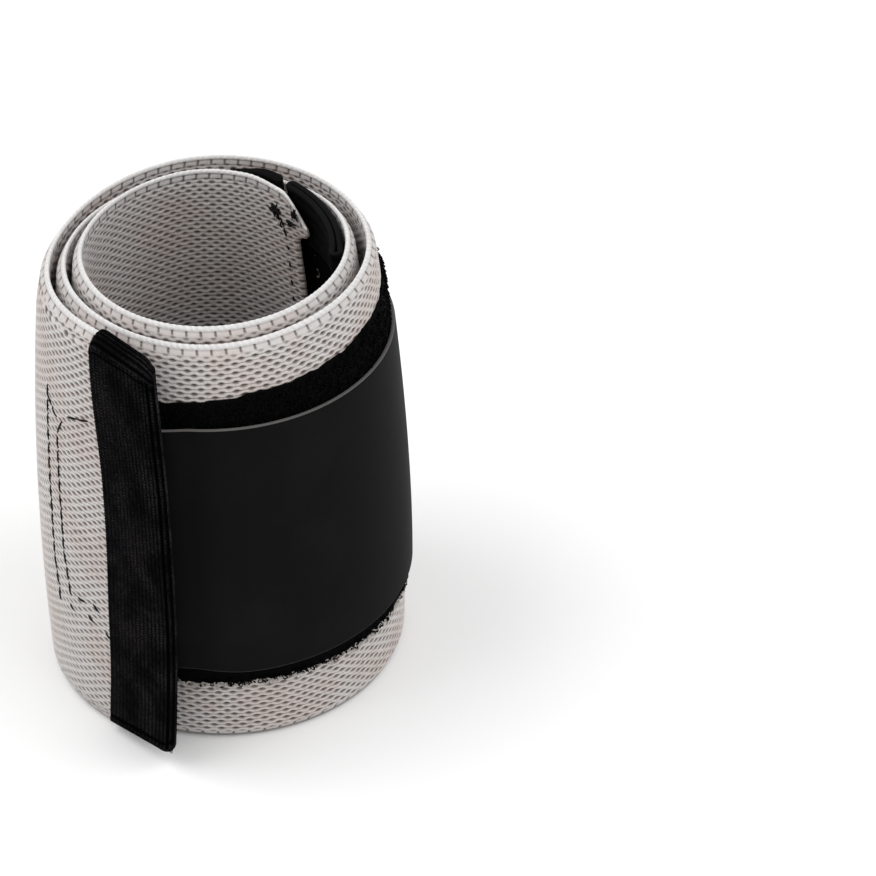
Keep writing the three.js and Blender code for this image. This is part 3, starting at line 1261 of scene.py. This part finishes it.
@dataclass(frozen=True)
class LoopPanel:
    """The panel of looped pile that the tab's hooks hold on to, with the loose curls at its lower edge."""

    roll: Roll
    length: float = 95.0
    height: float = 59.7
    foot: float = 12.7
    slope: float = 7.5
    start_turn: float = 375.5
    tuck: float = 3.5
    base_offset: float = 1.15
    base_thickness: float = 0.4
    corner: float = 0.25
    margin: float = 0.4
    bare_from: float = 78.0
    loops_above: int = 1500
    loops_beyond: int = 600
    loops_below: int = 260
    curls: int = 120

    def _root(self) -> float:
        """Distance along the band where the panel starts."""
        return float(self.roll.along_at(self.start_turn)) + self.tuck

    def _top(self, from_root: np.ndarray) -> np.ndarray:
        """Height of its upper edge."""
        return self.foot + self.height + self.slope * (from_root / self.length - 0.5)

    def _cloth(self, finish: bpy.types.Material) -> bpy.types.Object:
        """The cloth that the pile stands on."""
        roll, root = self.roll, self._root()
        run = Run.rounded(0.0, self.length, 0.9, self.corner, 3)
        front, back = even_rows(self.height, self.corner, 1.0), even_rows(self.height, self.corner, 2.0)
        section = Section.rounded(self.height, front, back, self.corner, 4)

        def carry(column: np.ndarray, row: np.ndarray) -> Carried:
            """Where the corners of the cloth lie.

            Args:
                column: their steps from the root.
                row: their steps round the section.

            Returns:
                Their places, and nothing for the material.
            """
            from_root, up = run.distance[column], section.up[row]
            height = self.foot + (self._top(from_root) - self.foot) * up / self.height
            half = self.base_thickness / 2 * run.share[column]
            wavy = share_noise(51, from_root / 0.7, up / 9) * 0.3
            height = height + wavy * between(np.abs(up / self.height - 0.5), 0.3, 0.5)
            offset = self.base_offset + section.across[row] * half
            return roll.place(roll.turn_at(root - from_root), offset, height), {}

        piece = laid_solid("loop_panel.cloth", run.steps, section.rows, carry)
        piece.data.materials.append(finish)
        return piece

    def _pile(self, finish: bpy.types.Material) -> bpy.types.Object:
        """The small loops of the pile, where the tab leaves it bare."""
        rng = np.random.default_rng(61)
        above, beyond, below = self.loops_above, self.loops_beyond, self.loops_below
        first, last = self.margin, self.length - self.margin
        along = np.concatenate(
            [
                rng.uniform(first, last, above),
                rng.uniform(self.bare_from, last, beyond),
                rng.uniform(first, last, below),
            ]
        )
        top = self._top(along)
        up = np.concatenate(
            [
                top[:above] - rng.uniform(0.25, 7.6, above),
                self.foot + rng.uniform(0, 1, beyond) * (top[above : above + beyond] - self.foot),
                self.foot + rng.uniform(-0.25, 1.4, below),
            ]
        )
        model, around, strand = ring_model(7, 3)
        wide, tall = rng.uniform(0.24, 0.42, len(along)), rng.uniform(0.34, 0.62, len(along))
        turned, thick = rng.uniform(0, math.pi, len(along)), rng.uniform(0.1, 0.14, len(along))
        lean = rng.normal(0, 0.35, len(along))
        side = wide[:, None] * np.cos(around) + thick[:, None] * np.cos(strand) * np.cos(around)
        rise = tall[:, None] * np.sin(around) + thick[:, None] * np.cos(strand) * np.sin(around)
        aside = thick[:, None] * np.sin(strand) + lean[:, None] * rise
        at_along = along[:, None] + side * np.cos(turned)[:, None] - aside * np.sin(turned)[:, None]
        at_up = up[:, None] + side * np.sin(turned)[:, None] + aside * np.cos(turned)[:, None]
        offset = self.base_offset + self.base_thickness / 2 - 0.05 + rise
        places = self.roll.place(self.roll.turn_at(self._root() - at_along), offset, at_up)
        piece = repeated("loop_panel.pile", model, places, {"chance": rng.uniform(0, 1, len(along))})
        piece.data.materials.append(finish)
        return piece

    def _curls(self, finish: bpy.types.Material) -> bpy.types.Object:
        """The loose curls at its lower edge, under the tab."""
        rng = np.random.default_rng(67)
        along = rng.uniform(1.0, 54.0, self.curls)
        up = self.foot - rng.uniform(-0.3, 0.6, self.curls)
        model, around, strand = ring_model(12, 4)
        wide, tall = rng.uniform(0.2, 0.4, len(along)), rng.uniform(0.22, 0.5, len(along))
        thick, turned = rng.uniform(0.07, 0.11, len(along)), rng.uniform(-0.9, 0.9, len(along))
        bent = rng.normal(0, 0.5, len(along))
        side = wide[:, None] * np.cos(around) + thick[:, None] * np.cos(strand) * np.cos(around)
        rise = tall[:, None] * np.sin(around) + thick[:, None] * np.cos(strand) * np.sin(around)
        at_along = along[:, None] + side * np.cos(turned)[:, None] - rise * np.sin(turned)[:, None]
        at_up = up[:, None] + side * np.sin(turned)[:, None] + rise * np.cos(turned)[:, None]
        out = thick[:, None] * np.sin(strand) + bent[:, None] * side * 0.7 + 0.3 * np.abs(np.sin(around))
        offset = self.base_offset + 0.1 + out
        places = self.roll.place(self.roll.turn_at(self._root() - at_along), offset, at_up)
        chance = 0.6 + 0.4 * rng.uniform(0, 1, len(along))
        piece = repeated("loop_panel.curls", model, places, {"chance": chance})
        piece.data.materials.append(finish)
        return piece

    def build(self, finish: bpy.types.Material, curl_finish: bpy.types.Material) -> list[bpy.types.Object]:
        """Builds and dresses the panel.

        Args:
            finish: the cloth's and the pile's material.
            curl_finish: the loose curls' material.

        Returns:
            Its pieces.
        """
        cloth, pile, curls = self._cloth(finish), self._pile(finish), self._curls(curl_finish)
        return [cloth, pile, curls]


@dataclass(frozen=True)
class InnerTape:
    """The ribbed tape across the band's inside, below the thumb loop."""

    roll: Roll
    turn: float = 584.3
    back: float = 3.2
    length: float = 19.0
    thickness: float = 1.0
    offset: float = -1.75
    top: float = 71.4
    droop: float = 2.7
    droop_over: float = 27.0
    rib: float = 0.95
    rib_depth: float = 0.13
    corner: float = 0.3
    width: float = 70.0

    def build(self, finish: bpy.types.Material) -> list[bpy.types.Object]:
        """Builds and dresses the tape.

        Args:
            finish: its material.

        Returns:
            Its one piece.
        """
        roll, root = self.roll, float(self.roll.along_at(self.turn)) - self.back
        run = Run.rounded(0.0, self.length, 0.19, 0.35, 3)
        back, front = even_rows(self.width, self.corner, 3.0), even_rows(self.width, self.corner, 1.0)
        section = Section.rounded(self.width, back, front, self.corner, 4)

        def carry(column: np.ndarray, row: np.ndarray) -> Carried:
            """Where the corners of the tape lie.

            Args:
                column: their steps from the root.
                row: their steps round the section.

            Returns:
                Their places, and what its material reads there.
            """
            from_root, up, across = run.distance[column], section.up[row], section.across[row]
            turn = roll.turn_at(root + from_root)
            low, high = roll.foot(turn) + 0.3, self.top - self.droop * from_root / self.droop_over
            height = low + (high - low) * up / self.width
            ribs = self.rib_depth * ripple(from_root / self.rib) * (section.face[row] < 0)
            offset = self.offset + across * (self.thickness / 2 * run.share[column] - ribs)
            values = {"along": from_root, "up": up, "rise": 1 - ribs / self.rib_depth}
            return roll.place(turn, offset, height), values

        piece = laid_solid("inner_end_binding.tape", run.steps, section.rows, carry)
        piece.data.materials.append(finish)
        return [piece]


@dataclass(frozen=True)
class ThumbLoop:
    """The flattened elastic loop for the thumb, and the end of it that is sewn to the band."""

    roll: Roll
    turn: float = 584.3
    back: float = 3.2
    length: float = 27.0
    ply: float = 1.1
    slot: float = 0.1
    width: float = 10.5
    top: float = 82.2
    droop: float = 2.7
    offset: float = -2.3
    sewn_from: float = 908.0
    sewn_to: float = 935.5
    sewn_width: float = 8.0
    sewn_thickness: float = 1.8
    thin_share: float = 0.4
    sewn_offset: float = 0.45
    starts_below: float = 0.3
    ends_above: float = 0.9
    broad_ribs: int = 4
    broad_depth: float = 0.2
    fine_rib: float = 0.45
    fine_depth: float = 0.03
    sewn_rib: float = 0.16
    sewn_share: float = 0.6
    corner: float = 0.3
    columns: int = 170

    @property
    def rib_depth(self) -> float:
        """Depth of the broad and the fine ribs together."""
        return self.broad_depth + self.fine_depth

    def _ribs(self, up: np.ndarray, width: float) -> np.ndarray:
        """Depth of the lengthwise ribs at a distance up the strap."""
        broad = np.abs(np.cos(math.pi * self.broad_ribs * up / width))
        return self.broad_depth * (1 - broad**0.6) + self.fine_depth * ripple(up / self.fine_rib)

    def _loop(self) -> bpy.types.Object:
        """The loop itself, closed on itself at both ends."""
        roll, root = self.roll, float(self.roll.along_at(self.turn)) - self.back
        radius, straight = (self.slot + self.ply) / 2, self.length - self.slot - 2 * self.ply
        lap = 2 * straight + TAU * radius
        front, back = even_rows(self.width, self.corner, 0.22), even_rows(self.width, self.corner, 0.6)
        section = Section.rounded(self.width, front, back, self.corner, 4)

        def carry(column: np.ndarray, row: np.ndarray) -> Carried:
            """Where the corners of the loop lie.

            Args:
                column: their steps round the loop.
                row: their steps round the section.

            Returns:
                Their places, and what its material reads there.
            """
            gone = lap * np.mod(column, self.columns) / self.columns
            turn_round = np.clip((gone - straight) / radius, 0, math.pi)
            turn_round = turn_round + np.clip((gone - 2 * straight) / radius - math.pi, 0, math.pi)
            ahead = np.clip(gone, 0, straight) - np.clip(gone - straight - math.pi * radius, 0, straight)
            x = self.ply + self.slot / 2 + ahead + radius * np.sin(turn_round)
            out = radius * np.cos(turn_round)
            up, face = section.up[row], section.face[row]
            thick = section.across[row] * self.ply / 2 - self._ribs(up, self.width) * (face > 0)
            swell = 0.25 * bell(x, self.length, 2.2) * np.abs(np.cos(turn_round))
            x = x + thick * np.sin(turn_round)
            out = out + (thick + swell) * np.cos(turn_round)
            sway = share_noise(71, gone / 9, up * 0) * 0.15
            height = self.top - self.width - self.droop * x / self.length + up + sway
            values = {"along": gone, "up": up, "rise": 1 - self._ribs(up, self.width) / self.rib_depth}
            return roll.place(roll.turn_at(root + x), self.offset + out, height), values

        return laid_solid("thumb_loop.strap", self.columns, section.rows, carry)

    def _sewn_end(self) -> bpy.types.Object:
        """The end of the strap that is sewn to the outside of the band's inner end."""
        roll, width = self.roll, self.sewn_width
        first, last = (float(roll.along_at(turn)) for turn in (self.sewn_from, self.sewn_to))
        run = Run.rounded(first, last, 0.3, 0.5, 3)
        rows = even_rows(width, self.corner, 0.25)
        section = Section.rounded(width, rows, rows, self.corner, 8)

        def carry(column: np.ndarray, row: np.ndarray) -> Carried:
            """Where the corners of the sewn end lie.

            Args:
                column: their steps along the band.
                row: their steps round the section.

            Returns:
                Their places, and what its material reads there.
            """
            along, up, across = run.distance[column], section.up[row], section.across[row]
            turn, on_face = roll.turn_at(along), section.face[row] != 0
            in_face = self._ribs(up, width) * self.sewn_share
            ribs = np.where(on_face, in_face, self.sewn_rib * ripple(across * 1.5))
            gone = between(turn, self.sewn_from, self.sewn_to - 4)
            half = self.sewn_thickness / 2 * (self.thin_share + (1 - self.thin_share) * gone)
            sunk = in_face * on_face * gone
            offset = self.sewn_offset + half + across * (half * run.share[column] - sunk)
            top = roll.rim(turn) - self.starts_below + (self.starts_below + self.ends_above) * gone
            height = top - width + up - ribs * ~on_face * np.sign(up - width / 2)
            values = {"along": along, "up": up, "rise": 1 - ribs / self.rib_depth}
            return roll.place(turn, offset, height), values

        return laid_solid("thumb_loop.sewn_end", run.steps, section.rows, carry)

    def build(self, finish: bpy.types.Material) -> list[bpy.types.Object]:
        """Builds and dresses the thumb loop.

        Args:
            finish: its material.

        Returns:
            Its pieces.
        """
        strap, end = self._loop(), self._sewn_end()
        for piece in (strap, end):
            piece.data.materials.append(finish)
        return [strap, end]


@dataclass(frozen=True)
class Seam:
    """A line of thread on the band: where it starts and stops, along the band and up it."""

    start_along: float
    start_up: float
    stop_along: float
    stop_up: float


@dataclass(frozen=True)
class Knot:
    """A bartack: its middle along the band and up it, its size and its stitches."""

    along: float
    up: float
    width: float
    height: float
    stitches: int


@dataclass(frozen=True)
class Stitching:
    """The black threads that hold the tab on the outside and the thumb loop on the inside."""

    roll: Roll
    stitch: float = 2.9
    thread: float = 0.19
    outside: tuple[Seam, ...] = (
        Seam(29.1, 64.0, 28.0, 30.0),
        Seam(28.0, 30.0, 26.9, 20.5),
        Seam(28.9, 62.0, 25.4, 59.2),
        Seam(23.8, 59.8, 25.4, 56.0),
        Seam(25.4, 56.0, 24.5, 33.0),
        Seam(24.5, 33.0, 23.2, 24.0),
        Seam(22.5, 61.2, 16.5, 63.0),
        Seam(21.4, 25.1, 19.8, 24.9),
        Seam(23.8, 22.2, 22.4, 21.2),
        Seam(17.6, 25.9, 15.8, 24.6),
        Seam(19.0, 22.4, 17.4, 21.8),
        Seam(14.8, 21.2, 13.4, 20.2),
    )

    def _beads(
        self,
        name: str,
        seams: Sequence[Seam],
        stitch: float,
        thread: float,
        side: Side,
        wobble: float,
    ) -> bpy.types.Object:
        """Lines of thread laid as short stitches.

        Args:
            name: the piece's name.
            seams: where the lines run, from the outer end.
            stitch: length of a stitch.
            thread: half the thread's thickness.
            side: the face that they lie on.
            wobble: how unevenly they are laid.

        Returns:
            The piece.
        """
        rng = np.random.default_rng(83)
        model, ball = bead_model(6, 7)
        rows = []
        for seam in seams:
            length = math.hypot(seam.stop_along - seam.start_along, seam.stop_up - seam.start_up)
            count = max(1, round(length / stitch))
            for part in range(count):
                share = (part + 0.5) / count
                rows.append(
                    (
                        seam.start_along + (seam.stop_along - seam.start_along) * share,
                        seam.start_up + (seam.stop_up - seam.start_up) * share,
                        (seam.stop_along - seam.start_along) / length,
                        (seam.stop_up - seam.start_up) / length,
                        length / count / 2,
                    )
                )
        along, up, way_along, way_up, half = np.array(rows).T
        along = along + rng.normal(0, wobble, len(along))
        turned = rng.normal(0, wobble, len(along))
        way_along, way_up = way_along + turned * way_up, way_up - turned * way_along
        way_along, way_up = way_along[:, None], way_up[:, None]
        aside, out, reach = ball[:, 0] * thread, ball[:, 1] * thread, half[:, None] * ball[:, 2]
        at_along = along[:, None] + way_along * reach - way_up * aside
        at_up = up[:, None] + way_up * reach + way_along * aside
        arch = 0.12 * (1 - ball[:, 2] ** 2) - 0.06
        offset = side.value * (self.roll.thickness / 2 + arch + out)
        turn = self.roll.turn_at(at_along)
        return repeated(name, model, self.roll.place(turn, np.broadcast_to(offset, turn.shape), at_up))

    def _bartacks(self) -> list[Seam]:
        """Dense short stitches on the inner face near the inner end, and the line between them."""
        end = float(self.roll.along_at(self.roll.inner_end))
        rng = np.random.default_rng(89)
        seams = []
        knots = (
            Knot(end - 3.6, 77.4, 2.6, 2.6, 34),
            Knot(end + 1.7, 78.3, 2.0, 2.0, 26),
            Knot(end - 0.3, 76.0, 2.4, 1.0, 10),
        )
        for knot in knots:
            for _ in range(knot.stitches):
                x, up = knot.along + rng.normal(0, knot.width / 5), knot.up + rng.normal(0, knot.height / 5)
                way = rng.uniform(0, math.pi)
                reach, rise = math.cos(way) * knot.width * 0.3, math.sin(way) * knot.height * 0.36
                seams.append(Seam(x - reach, up - rise, x + reach, up + rise))
        seams.append(Seam(end - 3.2, 76.8, end - 2.6, 74.0))
        seams.append(Seam(end - 2.6, 76.4, end - 1.4, 72.4))
        for up in (70.6, 66.9, 63.2, 59.6, 55.8):
            seams.append(Seam(end - 1.8, up, end - 1.4, up - 0.9))
        return seams

    def build(self, finish: bpy.types.Material) -> list[bpy.types.Object]:
        """Builds and dresses the threads.

        Args:
            finish: their material.

        Returns:
            Their pieces.
        """
        outside = self._beads("stitching.tab_root", self.outside, self.stitch, self.thread, Side.OUTER, 0.05)
        inside = self._beads("stitching.bartacks", self._bartacks(), 1.7, 0.2, Side.INNER, 0.06)
        for piece in (outside, inside):
            piece.data.materials.append(finish)
        return [outside, inside]


@dataclass(frozen=True)
class TapeFinish:
    """A black woven tape, with a speckled painted highlight on the crests of its weave."""

    name: str
    yarn: Color = shade(1, 1, 2)
    # Painted highlight on the crests of the weave.
    crest_highlight: Color = shade(48, 46, 47)
    weave_scale: float = 2600.0

    def make(self) -> bpy.types.Material:
        """Makes the material."""
        sheet = NodeSheet(self.name)
        place = sheet.object_place()
        rise = sheet.attribute("rise")
        grit = sheet.grain(place, self.weave_scale, 2.0, 0.6)
        cloud = sheet.grain(place, 160.0, 3.0, 0.6)
        # Painted highlight: lighter towards the weave's crests, speckled by grain and in patches.
        lit = rise.rises(0.4, 0.95) * (grit.rises(0.3, 0.7) * 0.85 + 0.15)
        lit = (lit * (cloud.rises(0.3, 0.7) * 1.1 + 0.3)).held()
        color = sheet.blend(lit * 0.75, self.yarn, self.crest_highlight)
        return sheet.finish(
            color,
            0.85,
            sheet.bump(grit * 0.6 + rise * 0.4, 0.0001, 0.8),
            {"Specular IOR Level": 0.01},
        )


@dataclass(frozen=True)
class LintedTapeFinish:
    """The inner tape: black ribs with painted highlight on their crests and a few light bits of lint."""

    yarn: Color = shade(5, 5, 6)
    # Painted highlight on the ribs' crests.
    crest_highlight: Color = shade(30, 30, 32)
    lint: Color = shade(150, 146, 142)

    def make(self) -> bpy.types.Material:
        """Makes the material."""
        sheet = NodeSheet("ribbed_tape")
        place = sheet.object_place()
        rise, along, up = sheet.attribute("rise"), sheet.attribute("along"), sheet.attribute("up")
        grit = sheet.grain(place, 2400.0, 2.0, 0.6)
        weft = (up * 1.6 + (along * 0.53).floor() * 0.5).wave()
        speck = sheet.grain(place, 700.0, 0.0, 0.5).rises(0.77, 0.8)
        # Painted highlight on the ribs' crests, along the weft.
        color = sheet.blend(rise * weft * 0.6 * grit, self.yarn, self.crest_highlight)
        color = sheet.blend(speck * 0.8, color, self.lint)
        return sheet.finish(
            color,
            0.85,
            sheet.bump(grit * 0.5 + weft * 0.4, 0.0001, 0.8),
            {"Specular IOR Level": 0.04},
        )


@dataclass(frozen=True)
class TabFinish:
    """The tab's smooth matt face, with a painted highlight on its cut edge."""

    face: Color = shade(13, 13, 14)
    worn: Color = shade(18, 18, 19)
    # Painted highlight on the tab's cut edge.
    edge_highlight: Color = shade(112, 110, 108)
    grip: Color = shade(14, 14, 15)

    def make(self) -> bpy.types.Material:
        """Makes the material."""
        sheet = NodeSheet("tab_sheet")
        place = sheet.object_place()
        edge, grip = sheet.attribute("edge"), sheet.attribute("grip")
        cloud = sheet.grain(place, 60.0, 4.0, 0.6)
        fine = sheet.grain(place, 3500.0, 2.0, 0.6)
        color = sheet.blend(cloud.rises(0.4, 0.7), self.face, self.worn)
        color = sheet.blend(grip * 0.8, color, self.grip)
        # Painted highlight on the cut edge, speckled by fine grain.
        color = sheet.blend(edge.rises(0.3, 0.9) * (fine * 0.6 + 0.5).held() * 0.85, color, self.edge_highlight)
        return sheet.finish(
            color,
            0.62 + (cloud - 0.5) * 0.16,
            sheet.bump(fine, 0.00003, 0.5),
            {"Specular IOR Level": 0.04},
        )


@dataclass(frozen=True)
class PileFinish:
    """The strands of the looped pile."""

    name: str
    dark: Color = shade(1, 1, 1)
    light: Color = shade(14, 14, 15)

    def make(self) -> bpy.types.Material:
        """Makes the material."""
        sheet = NodeSheet(self.name)
        chance = sheet.attribute("chance")
        fibre = sheet.grain(sheet.object_place(), 1800.0, 3.0, 0.7)
        color = sheet.blend((chance * 0.6 + fibre * 0.5).held(), self.dark, self.light)
        return sheet.finish(
            color,
            0.8,
            sheet.bump(fibre, 0.00005, 0.6),
            {"Specular IOR Level": 0.03},
        )


@dataclass(frozen=True)
class RibbedElasticFinish:
    """The thumb loop's elastic: black ribs with a slight grey lustre."""

    groove: Color = shade(1, 1, 2)
    rib: Color = shade(13, 13, 14)

    def make(self) -> bpy.types.Material:
        """Makes the material."""
        sheet = NodeSheet("ribbed_elastic")
        place = sheet.object_place()
        rise, along, up = sheet.attribute("rise"), sheet.attribute("along"), sheet.attribute("up")
        fibre = sheet.grain(sheet.joined(along * 0.9, up * 6), 3.0, 3.0, 0.7)
        weft = (along * 1.9 + fibre * 0.3).wave()
        cloud = sheet.grain(place, 300.0, 2.0, 0.5)
        lit = rise.rises(0.2, 1.0) * (0.35 + fibre * 0.6 + weft * 0.2) * (cloud + 0.4)
        color = sheet.blend(lit.held(), self.groove, self.rib)
        return sheet.finish(
            color,
            0.55,
            sheet.bump(rise * 0.4 + weft * 0.3 + fibre * 0.4, 0.00012, 0.8),
            {"Specular IOR Level": 0.06},
        )


@dataclass(frozen=True)
class ThreadFinish:
    """Black sewing thread."""

    thread: Color = shade(10, 9, 9)
    shine: Color = shade(40, 38, 38)

    def make(self) -> bpy.types.Material:
        """Makes the material."""
        sheet = NodeSheet("sewing_thread")
        twist = sheet.grain(sheet.object_place(), 2200.0, 1.0, 0.5)
        color = sheet.blend(twist.rises(0.4, 0.75), self.thread, self.shine)
        return sheet.finish(color, 0.6, sheet.bump(twist, 0.00005, 0.6), {"Specular IOR Level": 0.1})


@dataclass(frozen=True)
class Viewpoint:
    """The camera, at the place from which the object is seen."""

    place: tuple[float, float, float] = (0.03685, -0.5582, 0.4614)
    pitch: float = 36.89
    tilt: float = -2.59
    lens: float = 166.85

    def build(self) -> None:
        """Sets up the camera and makes it the scene's own."""
        camera = bpy.data.cameras.new("camera")
        camera.lens = self.lens
        camera.sensor_width = 36
        camera.clip_start, camera.clip_end = 0.01, 20
        down, roll = math.radians(self.pitch), math.radians(self.tilt)
        ahead = Vector((0, math.cos(down), -math.sin(down)))
        level_up = Vector((0, math.sin(down), math.cos(down)))
        right = math.cos(roll) * Vector((1, 0, 0)) + math.sin(roll) * level_up
        up = -math.sin(roll) * Vector((1, 0, 0)) + math.cos(roll) * level_up
        turned = Matrix((right, up, -ahead)).transposed().to_4x4()
        seat = bpy.data.objects.new("camera", camera)
        seat.matrix_world = Matrix.Translation(Vector(self.place)) @ turned
        bpy.context.scene.collection.objects.link(seat)
        bpy.context.scene.camera = seat


@dataclass(frozen=True)
class Lamp:
    """One soft area lamp that looks at the object."""

    name: str
    place: tuple[float, float, float]
    power: float
    size: float
    aim_height: float = 0.04

    def build(self) -> None:
        """Hangs the lamp."""
        light = bpy.data.lights.new(self.name, "AREA")
        light.energy, light.size = self.power, self.size
        seat = bpy.data.objects.new(self.name, light)
        aim = Vector((0, 0, self.aim_height)) - Vector(self.place)
        turned = aim.to_track_quat("-Z", "Y").to_matrix().to_4x4()
        seat.matrix_world = Matrix.Translation(Vector(self.place)) @ turned
        bpy.context.scene.collection.objects.link(seat)


@dataclass(frozen=True)
class Studio:
    """A plain white studio: a floor, soft lamps and an even sky."""

    floor_half: float = 2.5
    sky: float = 0.7
    lamps: tuple[Lamp, ...] = (
        Lamp("key", (-0.65, 0.0, 0.9), 5.6, 0.9),
        Lamp("fill", (0.65, -0.25, 0.9), 5.0, 0.9),
    )

    def build(self) -> None:
        """Builds the studio."""
        shape = bmesh.new()
        bmesh.ops.create_grid(shape, x_segments=1, y_segments=1, size=self.floor_half)
        mesh = as_mesh("floor", shape)
        floor = as_object("floor", mesh)
        sheet = NodeSheet("floor_white")
        mesh.materials.append(sheet.finish((0.95, 0.95, 0.95, 1), 0.9, None, {"Specular IOR Level": 0.0}))
        world = bpy.data.worlds.new("studio")
        world.use_nodes = True
        sky = world.node_tree.nodes["Background"]
        sky.inputs["Color"].default_value = (1, 1, 1, 1)
        sky.inputs["Strength"].default_value = self.sky
        bpy.context.scene.world = world
        bpy.context.scene.view_settings.view_transform = "Standard"
        for lamp in self.lamps:
            lamp.build()


def main() -> None:
    """Builds the wrap piece by piece."""
    logging.basicConfig(level=logging.INFO, format="%(name)s: %(message)s")
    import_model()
    Viewpoint().build()
    Studio().build()
    roll = Roll()
    thread = ThreadFinish().make()
    pile = PileFinish("loop_pile").make()
    curl = PileFinish("loose_curl", shade(60, 57, 55), shade(210, 204, 198)).make()
    dressed = {
        "elastic_band": ElasticBand(roll).build(KnitFinish().make()) + Stitching(roll).build(thread),
        "outer_end_binding": OuterTape(roll).build(TapeFinish("herringbone_tape").make()),
        "closure_tab": ClosureTab(roll).build(TabFinish().make()),
        "loop_panel": LoopPanel(roll).build(pile, curl),
        "inner_end_binding": InnerTape(roll).build(LintedTapeFinish().make()),
        "thumb_loop": ThumbLoop(roll).build(RibbedElasticFinish().make()),
    }
    for node, pieces in dressed.items():
        for piece in pieces:
            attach(piece, "root")
            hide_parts(node)
            LOG.info("%s: %d faces", piece.name, len(piece.data.polygons))


if __name__ == "__main__":
    main()
